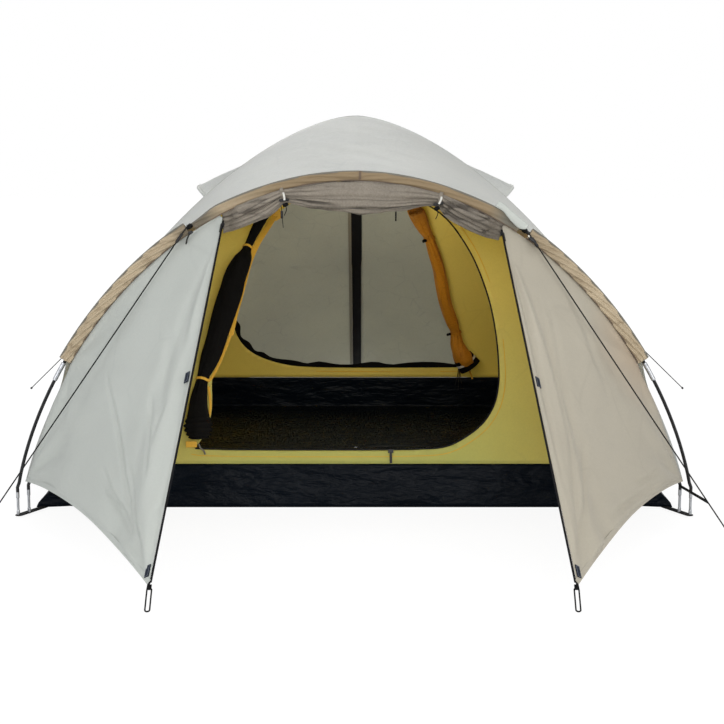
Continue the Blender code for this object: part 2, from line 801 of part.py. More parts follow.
def inner_slider(name, side, paint, parts, hidden):
    """The inner door's slider, parked on the straight sill."""
    mirror = 1 if side < 0 else -1
    x = SILL_SLIDER_X * mirror
    z = DOOR_SILL - INNER_ZIP_WIDTH * 0.5 - 0.001
    half_up = 0.003
    place, out = wall_point(x, z, side, INNER_ZIP_THICKNESS + 3.2 * GAP + half_up)
    along = Vector((1, 0, 0))
    body = bar(name, place - along * 0.009, place + along * 0.009, out, half_up, 0.0055, paint, parts)
    down = Vector((0, -out.z, out.y)) if out.y < 0 else Vector((0, out.z, -out.y))
    pull_start = place + out * 0.0015
    pull = bar(name + "_pull", pull_start, pull_start + down * 0.04 + out * 0.004, along, 0.004, 0.0012, paint, hidden)
    hide_cutter(pull)
    cut(body, pull, "UNION")
    return body


def peg_loop(name, corner, reach, paint, parts, hidden):
    """A webbing tab on a hem's corner with a long cord loop for a peg. reach is the way to the ground."""
    along = reach.normalized()
    across = Vector((1, 0, 0)) - along * along.x
    across.normalize()
    up = across.cross(along)
    thread = LOOP_CORD / 2
    half = LOOP_OPEN / 2 + thread
    start = corner + along * (LOOP_TAB - LOOP_SEWN)
    straight = reach.length - (LOOP_TAB - LOOP_SEWN) - 2 * half
    path = []
    for k in range(13):
        angle = pi * k / 12
        path.append(start + along * (half + straight + half * sin(angle)) + across * half * cos(angle))
    for k in range(13):
        angle = pi + pi * k / 12
        path.append(start + along * (half + half * sin(angle)) + across * half * cos(angle))
    rings = []
    for k, centre in enumerate(path):
        way = (path[(k + 1) % len(path)] - path[k - 1]).normalized()
        rings.append(ring_round(centre, way.cross(up).normalized(), up, thread, thread, 8))
    loop = loft(name + "_cord", rings, paint, hidden, hollow=True)
    hide_cutter(loop)
    tab = bar(name, corner, corner + along * LOOP_TAB, across, LOOP_WIDTH / 2, STRAP_THICKNESS / 2, paint, parts)
    cut(tab, loop, "UNION")
    return tab


def front_peg_loop(name, side, paint, parts, hidden):
    top, peg = zip_ends(side)
    corner = peg + Vector((-side * 0.002, -GAP, -LOOP_SEAT))
    ground = Vector((LOOP_GROUND_X[side > 0], -LOOP_GROUND_Y, LOOP_CORD / 2 + 0.0005))
    return peg_loop(name, corner, ground - corner, paint, parts, hidden)


def rear_peg_loop(name, paint, parts, hidden):
    end = rear_zip_line()[1]
    corner = end + Vector((0, 2 * GAP, 0))
    ground = Vector((0, corner.y + REAR_LOOP_REACH, LOOP_CORD / 2 + 0.0005))
    return peg_loop(name, corner, ground - corner, paint, parts, hidden)


def door_outline(mirror, steps, grow=0.0):
    """The D door's edge in X and Z: round at the zip's side, square at the foot of the other."""
    points = []
    half = DOOR_HALF_WIDTH + grow
    up = DOOR_TOP + grow - DOOR_WIDEST_AT
    down = DOOR_WIDEST_AT - DOOR_SILL + grow
    for k in range(steps):
        angle = 2 * pi * k / steps
        c = cos(angle)
        s = sin(angle)
        power = 2.5 if s >= 0 else (2.9 if c >= 0 else 6.0)
        x = half * (1 if c >= 0 else -1) * abs(c) ** (2 / power)
        z = DOOR_WIDEST_AT + (up if s >= 0 else down) * (1 if s >= 0 else -1) * abs(s) ** (2 / power)
        points.append((x * mirror, z))
    return points


def wall_point(x, z, side, off=0.0):
    """A point off the inner tent's end wall, and the way that the wall faces there."""
    step = 0.005
    fall = FLOOR_Y * (dome_u_at(z - step, INNER_TOP) - dome_u_at(z + step, INNER_TOP))
    out = Vector((0, side * 2 * step, fall)).normalized()
    place = Vector((x, side * (dome_u_at(z, INNER_TOP) * FLOOR_Y + SEAM), z))
    return place + out * off, out


def inner_end(name, side, paint, parts, hidden):
    """An end wall of the inner tent with its D opening cut through."""
    wall = dome_quarter(name, (0, side), FLOOR_X, FLOOR_Y, INNER_TOP, TUB_WALL + GAP, INNER_THICKNESS, paint, parts)
    outline = door_outline(1 if side < 0 else -1, 32)
    rings = []
    for y in (0.05, FLOOR_Y + 0.1):
        rings.append([Vector((x, side * y, z)) for x, z in outline])
    cutter = loft(name + "_door_cutter", rings, paint, hidden)
    hide_cutter(cutter)
    cut(wall, cutter)
    return wall


def ribbon_rings(places, make):
    """A ring at each of the places, square to the path; make gives its points from centre, width and out."""
    rings = []
    for k, (place, out) in enumerate(places):
        before = places[max(0, k - 1)][0]
        after = places[min(len(places) - 1, k + 1)][0]
        along = (after - before).normalized()
        width = along.cross(out).normalized()
        rings.append(make(k, place, width, width.cross(along)))
    return rings


def inner_zip(name, side, paint, parts):
    """The coil round a D opening, lying just outside the wall and open at the hinge."""
    steps = 72
    outline = door_outline(1 if side < 0 else -1, steps, INNER_ZIP_WIDTH * 0.5 + 0.001)
    used = outline[steps * 3 // 4 - 9:] + outline[:steps // 4 + 3]
    half_w = INNER_ZIP_WIDTH / 2
    half_t = INNER_ZIP_THICKNESS / 2
    places = [wall_point(x, z, side, half_t + 1.8 * GAP) for x, z in used]
    corners = ((1, 1), (-1, 1), (-1, -1), (1, -1))

    def section(k, centre, width, out):
        return [centre + width * half_w * a + out * half_t * b for a, b in corners]

    return loft(name, ribbon_rings(places, section), paint, parts)


def smooth_stations(stations, between):
    """More stations on an even curve through the given ones."""
    found = []
    last = len(stations) - 1
    for k in range(last):
        p0 = stations[max(0, k - 1)]
        p1 = stations[k]
        p2 = stations[k + 1]
        p3 = stations[min(last, k + 2)]
        for n in range(between):
            t = n / between
            found.append(tuple(
                0.5 * (2 * b + (c - a) * t + (2 * a - 5 * b + 4 * c - d) * t * t + (3 * b - a - 3 * c + d) * t ** 3)
                for a, b, c, d in zip(p0, p1, p2, p3)
            ))
    return found + [stations[last]]


def inner_roll(name, side, stations, inside, paint, parts):
    """A door rolled up beside its opening, pinched by its ties. Stations are (x, z, radius)."""
    stations = smooth_stations(stations, 3)
    places = []
    for x, z, radius in stations:
        depth = ROLL_FLATNESS * radius
        off = -(INNER_THICKNESS + ROLL_CLEARANCE + depth) if inside else 1.5 * GAP + depth
        places.append(wall_point(x, z, side, off))

    def section(k, centre, width, out):
        radius = stations[k][2]
        return ring_round(centre, width, out, radius, ROLL_FLATNESS * radius, 12)

    return loft(name, ribbon_rings(places, section), paint, parts)


def arch_roll(paint, parts):
    """The vestibule door rolled up under the arch: full between its ties, pinched at them."""
    rings = []
    count = 28
    for k in range(count + 1):
        x = mix(*ROLL_ENDS, k / count)
        pinch = sum(exp(-(((x - tie) / TIE_PINCH) ** 2)) for tie in ROLL_TIES)
        full = 1 - 0.32 * (2 * k / count - 1) ** 4
        half = ROLL_HALF * full * (1 - 0.55 * pinch)
        depth = ROLL_DEPTH * full * (1 - 0.45 * pinch)
        centre, outward = arch_point(arch_angle_at_x(x), SLEEVE_RADIAL + GAP + half)
        rings.append(ring_round(centre, Vector((0, 1, 0)), outward, depth, half, 14))
    return loft("vestibule_door_roll", rings, paint, parts)


def vent_hood(name, side, paint, parts):
    """A hood over a side vent, sewn on above and held away from the fly below."""
    half_x, half_y, top = fly_sizes()
    end = dome_u_at(FLY_HEM, top)
    first = dome_u(pi / 2 * HOOD_ROW / ROWS)
    rows = 6
    grids = []
    for depth in (HOOD_THICKNESS, 0.0):
        grid = []
        for i in range(rows + 1):
            b = i / rows
            u = mix(first, HOOD_LOW_U, b)
            step = 0.01
            fall = dome_height(u - step, top) - dome_height(u + step, top)
            normal = Vector((fall, 0, 2 * step * half_x)).normalized()
            row = []
            for j in range(COLUMNS + 1):
                a = -1 + 2 * j / COLUMNS
                y = a * HOOD_HALF_WIDTH * (0.55 + 0.45 * b)
                t = y / (u * half_y)
                lift = HOOD_LIFT * (1 - a * a) ** 0.8 * sin(pi / 2 * b) + 1.5 * GAP + depth
                place = Vector((u * half_x + SEAM - side_drawn(u, t, end), y, dome_height(u, top))) + normal * lift
                row.append(Vector((side * place.x, place.y, place.z)))
            grid.append(row)
        grids.append(grid)
    return sheet(name, grids[0], grids[1], paint, parts)


def line_ends(index):
    """A guy line's ends: 0 front left, 1 front right, 2 rear left, 3 rear right."""
    side = -1 if index % 2 == 0 else 1
    thread = LINE_DIAMETER / 2
    if index < 2:
        centre, outward = arch_point(arch_angle_at_x(FRONT_LINE_X[index]))
        reach = RADIUS + GAP + STRAP_THICKNESS + GAP + thread
        start = centre + (outward * 0.6 + Vector((0, -0.8, 0))) * reach
        ground = (side * FRONT_GROUND[0], FRONT_GROUND[1])
    else:
        a, b, top = fly_sizes()
        step = 0.01
        fall = dome_height(REAR_LINE_U - step, top) - dome_height(REAR_LINE_U + step, top)
        normal = Vector((side * fall, fall * b / a, 2 * step * hypot(a, b))).normalized()
        start = Vector((side * REAR_LINE_U * a, REAR_LINE_U * b, dome_height(REAR_LINE_U, top)))
        start = start + normal * (thread + 0.2 * GAP)
        ground = (side * REAR_GROUND[0], REAR_GROUND[1])
    return start, Vector((ground[0], ground[1], thread + 0.001))


def runner(name, index, from_top, paint, parts):
    """A line runner with the line through it."""
    start, end = line_ends(index)
    along = (end - start).normalized()
    across = along.cross(Vector((0, 0, 1))).normalized()
    up = across.cross(along)
    hole = LINE_DIAMETER / 2 + GAP
    rings = []
    for where, half_w, half_t, power in (
        (0, RUNNER_WIDTH / 2, RUNNER_THICKNESS / 2, 3.0),
        (RUNNER_LENGTH, RUNNER_WIDTH / 2, RUNNER_THICKNESS / 2, 3.0),
        (RUNNER_LENGTH, hole, hole, 2.0),
        (0, hole, hole, 2.0),
    ):
        centre = start + along * (from_top + where)
        rings.append(ring_round(centre, across, up, half_w, half_t, 16, power))
    return loft(name, rings, paint, parts, hollow=True)


def corner_guy_strap(name, index, paint, parts):
    """The strap from the fly's front corner to the guy line's foot."""
    start, end = line_ends(index)
    side = -1 if index == 0 else 1
    slant = (end - start).normalized()
    meet = mix(start, end, 0.87)
    corner = Vector((side * (PANEL_FOOT_X + 0.004), -ARCH_Y - 0.012, PANEL_FOOT_HEIGHT - 0.012))
    along = (meet - corner).normalized()
    flat = along.cross(slant).normalized() * STRAP_THICKNESS / 2
    edge = slant * CORNER_STRAP_WIDTH / 2
    end = meet - along * (LINE_DIAMETER / 2 + 2 * GAP)
    corners = ((1, 1), (-1, 1), (-1, -1), (1, -1))
    rings = [[centre + edge * a + flat * b for a, b in corners] for centre in (corner, end)]
    return loft(name, rings, paint, parts)


def main():
    clear_scene()
    parts = new_collection("camping_tent")
    hidden = new_collection("cutters", hidden=True)

    pole_black = new_material("pole_black", (0.012, 0.012, 0.013), roughness=0.35)
    silver = new_material("silver", (0.62, 0.62, 0.64), metallic=1.0, roughness=0.35)
    webbing = new_material("webbing_black", (0.015, 0.015, 0.018), roughness=0.85)
    tub_cloth = new_material("tub_black", (0.012, 0.014, 0.02), roughness=0.3)
    yellow = new_material("inner_yellow", (0.52, 0.40, 0.055), roughness=0.8)
    orange = new_material("door_orange", (0.5, 0.2, 0.012), roughness=0.8)
    mesh_black = new_material("door_mesh_black", (0.02, 0.018, 0.015), roughness=0.9)
    fly_grey = new_material("fly_grey", (0.55, 0.56, 0.54), roughness=0.6)
    panel_grey = new_material("panel_grey", (0.46, 0.48, 0.45), roughness=0.6)
    panel_beige = new_material("panel_beige", (0.44, 0.40, 0.32), roughness=0.6)
    sleeve_beige = new_material("sleeve_beige", (0.42, 0.33, 0.22), roughness=0.7)
    taupe = new_material("door_taupe", (0.30, 0.26, 0.21), roughness=0.7)
    zip_black = new_material("zip_black", (0.012, 0.012, 0.014), roughness=0.6)
    line_grey = new_material("line_grey", (0.10, 0.10, 0.10), roughness=0.8)
    runner_black = new_material("runner_black", (0.015, 0.015, 0.015), roughness=0.4)

    main_pole("main_pole_a", -1, 0.0, pole_black, parts)
    main_pole("main_pole_b", 1, POLE_DIAMETER + GAP, pole_black, parts)
    arch_pole(pole_black, parts)
    for end, sy in (("front", -1), ("rear", 1)):
        for hand, sx in (("left", -1), ("right", 1)):
            foot_x, foot_y = main_foot()
            tip(f"main_tip_{end}_{hand}", sx * foot_x, sy * foot_y, silver, parts)
            corner_strap(f"corner_strap_{end}_{hand}", sx, sy, webbing, parts)
    for hand, sx in (("left", -1), ("right", 1)):
        tip(f"arch_tip_{hand}", sx * arch_foot_x(), -ARCH_Y, silver, parts)
        ferrule(f"arch_ferrule_{hand}", sx, silver, parts)

    floor_sheet("floor_sheet", tub_cloth, parts)
    floor_wall("floor_wall", tub_cloth, parts)
    inner_end("inner_front", -1, yellow, parts, hidden)
    inner_end("inner_rear", 1, yellow, parts, hidden)
    for hand, sx in (("left", -1), ("right", 1)):
        dome_quarter(f"inner_{hand}", (sx, 0), FLOOR_X, FLOOR_Y, INNER_TOP, TUB_WALL + GAP,
                     INNER_THICKNESS, yellow, parts)
    inner_zip("inner_front_zip", -1, zip_black, parts)
    inner_zip("inner_rear_zip", 1, zip_black, parts)
    inner_slider("inner_front_slider", -1, runner_black, parts, hidden)
    inner_slider("inner_rear_slider", 1, runner_black, parts, hidden)
    inner_roll("inner_front_door_roll", -1, FRONT_ROLL, False, mesh_black, parts)
    inner_roll("inner_rear_door_roll", 1, REAR_ROLL, True, orange, parts)

    fly_side("fly_left", -1, fly_grey, parts)
    fly_side("fly_right", 1, fly_grey, parts)
    fly_front(fly_grey, parts)
    fly_rear(fly_grey, parts, hidden)
    start, end = rear_zip_line()
    bar("rear_zip", start, end, Vector((1, 0, 0)), REAR_ZIP_WIDTH / 2, FLY_THICKNESS / 2, zip_black, parts)

    rear_slider(runner_black, parts, hidden)
    rear_peg_loop("peg_loop_rear", webbing, parts, hidden)

    for hand, side, paint in (("left", -1, panel_grey), ("right", 1, panel_beige)):
        vestibule_panel(f"vestibule_{hand}", side, paint, parts, hidden)
        front_zip(f"vestibule_zip_{hand}", side, zip_black, parts)
        front_slider(f"vestibule_slider_{hand}", side, runner_black, parts, hidden)
        front_peg_loop(f"peg_loop_{hand}", side, webbing, parts, hidden)
    sleeve("arch_sleeve_left", 0, LEFT_GAP[0], sleeve_beige, parts, low_start=True)
    sleeve("arch_sleeve_middle", LEFT_GAP[1], RIGHT_GAP[0], sleeve_beige, parts)
    sleeve("arch_sleeve_right", RIGHT_GAP[1], 0, sleeve_beige, parts, low_end=True)
    for hand, x in zip(("left", "right"), FRONT_LINE_X):
        pole_loop(f"pole_loop_{hand}", x, webbing, parts)
    arch_roll(taupe, parts)
    vent_hood("vent_hood_left", -1, fly_grey, parts)
    vent_hood("vent_hood_right", 1, fly_grey, parts)

    names = ("front_left", "front_right", "rear_left", "rear_right")
    for index, where in enumerate(names):
        start, end = line_ends(index)
        rod(f"guy_line_{where}", [start, end], LINE_DIAMETER / 2, line_grey, parts)
        runner(f"runner_{where}", index, RUNNER_FROM_TOP[index // 2], runner_black, parts)
    corner_guy_strap("corner_guy_strap_right", 1, webbing, parts)


main()
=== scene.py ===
"""Looks for the dome tent: cloth, rolls, ties, cords and finishes round the frame. Metres, +Z up."""
from math import acos, asin, atan2, cos, exp, hypot, pi, radians, sin

import bmesh
import bpy
import numpy as np
from mathutils import Matrix, Vector, noise


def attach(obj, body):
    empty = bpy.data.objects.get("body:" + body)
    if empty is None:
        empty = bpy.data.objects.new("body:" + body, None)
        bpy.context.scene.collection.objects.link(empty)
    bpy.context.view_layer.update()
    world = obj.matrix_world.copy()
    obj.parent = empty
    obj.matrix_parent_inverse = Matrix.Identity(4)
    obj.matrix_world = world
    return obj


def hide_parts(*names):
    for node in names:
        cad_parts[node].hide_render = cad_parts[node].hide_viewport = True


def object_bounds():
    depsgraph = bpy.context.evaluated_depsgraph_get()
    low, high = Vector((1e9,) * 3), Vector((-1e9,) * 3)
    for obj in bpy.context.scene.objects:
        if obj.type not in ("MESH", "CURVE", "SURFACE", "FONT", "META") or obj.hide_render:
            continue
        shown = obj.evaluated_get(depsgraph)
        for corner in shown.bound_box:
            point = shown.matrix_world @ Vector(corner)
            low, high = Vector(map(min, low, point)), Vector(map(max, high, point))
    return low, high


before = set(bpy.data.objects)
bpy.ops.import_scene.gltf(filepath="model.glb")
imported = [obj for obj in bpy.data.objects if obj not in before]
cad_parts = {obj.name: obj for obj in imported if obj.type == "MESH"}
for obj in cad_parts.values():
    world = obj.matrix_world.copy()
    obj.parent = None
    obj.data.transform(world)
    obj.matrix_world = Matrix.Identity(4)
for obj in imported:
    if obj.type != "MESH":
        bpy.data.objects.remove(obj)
cad_low, cad_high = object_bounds()
BODY = "tent"

# camera, room and floor
CAMERA_PLACE = (0.025, -5.619, 1.165)
CAMERA_DOWN = radians(8.28)
LENS = 72.15
SENSOR = 36.0
ROOM_COLOUR = (0.95, 0.97, 1.0, 1.0)
ROOM_STRENGTH = 0.72
FLOOR_HALF = 30.0

# poles and floor, as in the frame
POLE_RADIUS = 0.0055
MAIN_X = 1.065
MAIN_Y = 1.04
MAIN_TOP = 1.289
ARCH_X = 1.09
ARCH_Y = 1.065
ARCH_TOP = 1.09
FLOOR_X = 1.05
FLOOR_Y = 0.95
INNER_TOP = 1.21
TUB_WALL = 0.142
INNER_THICKNESS = 0.002
GAP = 0.0004

# edges of the inner doors in X and Z: the zip's curve from the sill to the top, then the straight side
DOOR_EDGES = {
    -1: (
        (
            (-0.525, 0.193), (-0.40, 0.190), (-0.20, 0.189), (0.0, 0.189), (0.20, 0.191),
            (0.30, 0.199), (0.368, 0.230), (0.426, 0.275), (0.463, 0.332), (0.479, 0.400),
            (0.480, 0.480), (0.474, 0.560), (0.461, 0.640), (0.440, 0.715), (0.411, 0.790),
            (0.378, 0.850), (0.335, 0.910), (0.280, 0.958), (0.20, 0.995), (0.10, 1.012), (0.0, 1.017),
        ),
        (
            (-0.10, 1.014), (-0.20, 0.992), (-0.262, 0.955), (-0.312, 0.900), (-0.352, 0.825),
            (-0.372, 0.775), (-0.390, 0.715), (-0.408, 0.655), (-0.430, 0.575), (-0.450, 0.510),
            (-0.468, 0.455), (-0.476, 0.400), (-0.474, 0.350), (-0.476, 0.300), (-0.492, 0.245),
        ),
    ),
    1: (
        (
            (0.490, 0.196), (0.40, 0.194), (0.20, 0.193), (0.0, 0.193), (-0.20, 0.196), (-0.31, 0.206),
            (-0.415, 0.236), (-0.490, 0.282), (-0.533, 0.345), (-0.548, 0.420), (-0.549, 0.500),
            (-0.538, 0.580), (-0.515, 0.670), (-0.478, 0.765), (-0.425, 0.850), (-0.350, 0.920),
            (-0.250, 0.972), (-0.13, 0.998), (0.0, 1.003),
        ),
        (
            (0.10, 0.995), (0.18, 0.968), (0.245, 0.925), (0.278, 0.870), (0.311, 0.807),
            (0.338, 0.731), (0.361, 0.656), (0.382, 0.561), (0.402, 0.491), (0.425, 0.418),
            (0.440, 0.360), (0.456, 0.305), (0.474, 0.250),
        ),
    ),
}

# fly and front vestibule
FLY_LIFT = 0.0068
FLY_THICKNESS = 0.0025
FLY_HEM = 0.11
REAR_PEG_Y = 1.72
REAR_PEG_HEIGHT = 0.055
REAR_ZIP_HALF = 0.0244
REAR_BOW = 0.02
RIDGE_UP = Vector((0, -0.78, 0.62))
SIDE_SAG = 0.012
SIDE_RISE = 0.03
PEG_X = (-0.531, 0.586)
PEG_Y = 1.955
PEG_HEIGHT = 0.045
ZIP_TOP_X = (-0.417, 0.4705)
PANEL_FOOT_X = 1.038
PANEL_FOOT_HEIGHT = 0.116
PANEL_TURN = 0.68
PANEL_BOW = 0.015
TAB_WIDTH = 0.018
TAB_LENGTH = 0.036
TAB_SHARES = (0.483, 0.968)
SLEEVE_RADIAL = 0.019
SLEEVE_DEPTH = 0.0085
SLEEVE_END_HEIGHT = 0.508
SLEEVE_FOLDS = 105.0
SLEEVE_JOINT_X = 0.019
LEFT_GAP = (-0.524, -0.505)
RIGHT_GAP = (0.519, 0.549)
ROLL_ENDS = (-0.409, 0.462)
ROLL_HALF = 0.053
ROLL_DEPTH = 0.036
ROLL_TIES = (-0.231, 0.277)
ROLL_PAST = 0.026
ROLL_BACK = 0.014
HANGING_TAB_X = 0.147

# the rolled front door: how wide it looks at places along X
ROLL_SHAPE = (
    (-0.450, 0.060), (-0.400, 0.078), (-0.372, 0.082), (-0.334, 0.084), (-0.297, 0.081),
    (-0.270, 0.070), (-0.250, 0.060), (-0.231, 0.049), (-0.197, 0.068), (-0.154, 0.087),
    (-0.097, 0.104), (-0.038, 0.114), (0.025, 0.118), (0.097, 0.114), (0.175, 0.092), (0.240, 0.062),
    (0.277, 0.048), (0.312, 0.070), (0.345, 0.080), (0.392, 0.081), (0.451, 0.076), (0.500, 0.056),
)

# gathers of the rolled door by its ties: place along it, reach, how many folds, and their depth
ROLL_GATHERS = (
    (0.22, 0.12, 13, 0.85), (0.775, 0.12, 13, 0.85), (0.0, 0.13, 10, 0.80), (1.0, 0.13, 10, 0.80),
    (0.5, 0.35, 5, 0.25),
)

# creases of the vestibule walls: (share down the zip, share from the arch to the zip), width, depth
CREASES = {
    -1: (
        (((0.631, 0.300), (0.706, 0.467), (0.781, 0.608), (0.863, 0.733), (0.931, 0.842)), 0.009, 0.0105),
        (((0.600, 0.717), (0.700, 0.808), (0.794, 0.875)), 0.009, 0.0085),
        (((0.590, 0.852), (0.640, 0.838), (0.713, 0.842)), 0.010, 0.0068),
        (((0.594, 0.967), (0.713, 0.992), (0.788, 0.983), (0.863, 0.958)), 0.010, 0.0085),
        (((0.856, 0.525), (0.894, 0.633), (0.919, 0.750), (0.940, 0.850)), 0.011, 0.0119),
        (((0.406, 0.667), (0.537, 0.775), (0.638, 0.833)), 0.016, 0.0051),
        (((0.800, 0.700), (0.870, 0.800), (0.925, 0.880), (0.955, 0.930)), 0.010, 0.0085),
        (((0.294, 0.767), (0.456, 0.892), (0.588, 0.958)), 0.018, 0.0068),
    ),
    1: (
        (((0.294, 0.617), (0.525, 0.775), (0.738, 0.850), (0.919, 0.933)), 0.013, 0.0093),
        (((0.306, 0.533), (0.544, 0.700), (0.731, 0.775)), 0.018, 0.0068),
        (((0.731, 0.683), (0.856, 0.825), (0.944, 0.933)), 0.012, 0.0102),
        (((0.938, 0.233), (0.944, 0.350), (0.938, 0.450)), 0.009, 0.0076),
        (((0.975, 0.250), (0.970, 0.480), (0.955, 0.680)), 0.011, 0.0093),
        (((0.300, 0.120), (0.469, 0.283), (0.700, 0.358)), 0.020, 0.0068),
        (((0.100, 0.900), (0.400, 0.930), (0.800, 0.960)), 0.011, 0.0102),
    ),
}

# the strip of fly that covers the right gap of the sleeve: its upper and lower edges in X and Z
GAP_STRIP = (
    ((0.450, 1.012), (0.470, 0.999), (0.488, 0.983), (0.507, 0.967), (0.526, 0.951), (0.545, 0.936)),
    ((0.440, 0.994), (0.463, 0.980), (0.478, 0.962), (0.492, 0.946), (0.513, 0.927), (0.534, 0.923)),
)

# vent hoods
HOOD_HALF_WIDTH = 0.15
HOOD_LIFT = 0.075
HOOD_FIRST_ANGLE = pi / 2 * 5 / 18
HOOD_LOW_U = 0.517

# guy lines
LINE_RADIUS = 0.0021
FRONT_LINE_X = (-0.5145, 0.534)
FRONT_GROUND = (1.14, -1.42)
REAR_GROUND = (1.61, 1.45)
REAR_LINE_U = 0.56
LOOP_THICKNESS = 0.002

# the rolled inner doors: (x, z, half width) along each roll, and (x, z) along its orange edges
FRONT_ROLL = (
    (-0.511, 0.224, 0.034), (-0.512, 0.250, 0.047), (-0.514, 0.289, 0.040), (-0.514, 0.349, 0.028),
    (-0.506, 0.405, 0.021), (-0.487, 0.455, 0.032), (-0.468, 0.510, 0.038), (-0.448, 0.575, 0.042),
    (-0.423, 0.664, 0.042), (-0.408, 0.715, 0.042), (-0.388, 0.775, 0.034), (-0.372, 0.825, 0.016),
    (-0.332, 0.908, 0.021), (-0.300, 0.955, 0.017),
)
REAR_ROLL = (
    (0.503, 0.222, 0.040), (0.485, 0.246, 0.047), (0.469, 0.273, 0.043), (0.454, 0.310, 0.034),
    (0.444, 0.368, 0.024), (0.427, 0.418, 0.029), (0.400, 0.491, 0.029), (0.382, 0.561, 0.030),
    (0.361, 0.656, 0.028), (0.338, 0.731, 0.027), (0.311, 0.807, 0.023), (0.286, 0.856, 0.032),
    (0.266, 0.895, 0.036), (0.247, 0.940, 0.036),
)
ROLL_BETWEEN = 12
EDGING_UPPER = (
    (-0.418, 0.545), (-0.405, 0.610), (-0.391, 0.664), (-0.379, 0.715), (-0.367, 0.765), (-0.350, 0.812),
    (-0.331, 0.850), (-0.301, 0.897), (-0.281, 0.930),
)
EDGING_LOWER = ((-0.418, 0.545), (-0.435, 0.500), (-0.455, 0.450), (-0.478, 0.410), (-0.492, 0.400))
EDGING_FOOT = ((-0.486, 0.385), (-0.480, 0.350), (-0.478, 0.315), (-0.484, 0.285))

# cloths, hems, rolls and the groundsheet
CLOTH = 0.0009
HEM_WIDTH = 0.016
HEM_THICKNESS = 0.0012
TIE_WIDTH = 0.011
ROLL_CLOTH = 0.0011
ROLL_CORE = 0.22
ROLL_STEP = 0.006
TUB_ROUND = 260
TUB_PULL = 0.052
UV = "cloth"

# names and ways that several functions share
HANDS = ((-1, "left"), (1, "right"))
ENDS = ((-1, "front"), (1, "rear"))
FORWARD = Vector((0, -1, 0))


def mix(a, b, share):
    return a + (b - a) * share


def shares(count):
    """Even shares from 0 to 1, in count steps."""
    return [k / count for k in range(count + 1)]


def smooth(low, high, x):
    """0 below low, 1 above high, and an even turn between them."""
    t = min(1.0, max(0.0, (x - low) / (high - low)))
    return t * t * (3 - 2 * t)


def fade(x, width):
    """0 at both ends of a share that runs 0 to 1, and 1 from width on."""
    return smooth(0.0, width, x) * smooth(0.0, width, 1 - x)


def drawn_out(turn, power):
    """A point of a unit circle, drawn out towards a square as power falls from 1."""
    c = cos(turn)
    s = sin(turn)
    return (1 if c >= 0 else -1) * abs(c) ** power, (1 if s >= 0 else -1) * abs(s) ** power


def tilted(slope, out=(0, 1, 0)):
    """A block's axes, turned in the plane of the front by a slope."""
    return (1, 0, slope), out, (-slope, 0, 1)


def bump_at(x, centre, width):
    return exp(-(((x - centre) / width) ** 2))


def hills(point, scale, seed=0.0):
    """Smooth noise between about -1 and 1, with hills about 1/scale apart."""
    return noise.noise(Vector(point) * scale + Vector((seed, seed * 1.7, -seed)))


# shapes that the frame's poles give


def dome_u(angle):
    return max(0.0, sin(angle)) ** 1.25


def dome_height(u, top):
    return top * max(0.0, 1.0 - abs(u) ** 1.6) ** (1 / 1.5)


def dome_u_at(height, top):
    return max(0.0, 1.0 - (height / top) ** 1.5) ** (1 / 1.6)


def arch_height(x):
    return ARCH_TOP * max(0.0, 1.0 - (x / ARCH_X) ** 2) ** (1 / 1.6)


def arch_point(angle, inset=0.0, y=-ARCH_Y):
    """The arch pole's centre line moved inwards by inset, and the way out of the arch."""
    step = 0.001
    ends = []
    for a in (angle - step, angle + step):
        ends.append(Vector((ARCH_X * sin(a), 0, ARCH_TOP * max(0.0, cos(a)) ** 1.25)))
    along = (ends[1] - ends[0]).normalized()
    outward = Vector((-along.z, 0, along.x))
    centre = (ends[0] + ends[1]) / 2 - outward * inset
    centre.y = y
    return centre, outward


def arch_angle_at_x(x):
    return asin(x / ARCH_X)


def arch_angle_at_height(height):
    return acos((height / ARCH_TOP) ** 0.8)


def fly_sizes(inset=0.0):
    grow = FLY_LIFT + FLY_THICKNESS - inset
    half_x = MAIN_X + grow
    top = MAIN_TOP + POLE_RADIUS + GAP + FLY_THICKNESS - inset
    return half_x, half_x * MAIN_Y / MAIN_X, top


def rear_ridge():
    """Where the rear vestibule leaves the dome, and the peg corner that it runs to."""
    _, half_y, top = fly_sizes()
    peg = Vector((0, REAR_PEG_Y, REAR_PEG_HEIGHT))
    best = None
    for k in range(1, 400):
        u = k / 400
        point = Vector((0, u * half_y, dome_height(u, top)))
        slope = (point.z - peg.z) / (peg.y - point.y)
        if best is None or slope > best[0]:
            best = (slope, u, point)
    return best[1], best[2], peg


def zip_ends(side):
    top, _ = arch_point(arch_angle_at_x(ZIP_TOP_X[side > 0]), SLEEVE_RADIAL + 2 * GAP)
    return top, Vector((PEG_X[side > 0], -PEG_Y, PEG_HEIGHT))


def panel_edge(side, share):
    """The vestibule panel's edge along the arch, then straight down to the fly's corner."""
    first = arch_angle_at_x(ZIP_TOP_X[side > 0])
    last = side * arch_angle_at_height(SLEEVE_END_HEIGHT)
    if share <= PANEL_TURN:
        return arch_point(mix(first, last, share / PANEL_TURN), SLEEVE_RADIAL + GAP)[0]
    corner, _ = arch_point(last, SLEEVE_RADIAL + GAP)
    foot = Vector((side * PANEL_FOOT_X, -ARCH_Y, PANEL_FOOT_HEIGHT))
    down = (share - PANEL_TURN) / (1 - PANEL_TURN)
    return mix(corner, foot, down) + Vector((side * PANEL_BOW * smooth(0.0, 0.45, down), 0, 0))


def panel_frame(side):
    """The vestibule panel's zip line, its outward normal and the way from the zip into the panel."""
    top, peg = zip_ends(side)
    foot = Vector((side * PANEL_FOOT_X, -ARCH_Y, PANEL_FOOT_HEIGHT))
    normal = (foot - top).cross(peg - top).normalized()
    if normal.z < 0:
        normal = -normal
    into = (top - peg).cross(normal).normalized()
    if into.x * side < 0:
        into = -into
    return top, peg, normal, into


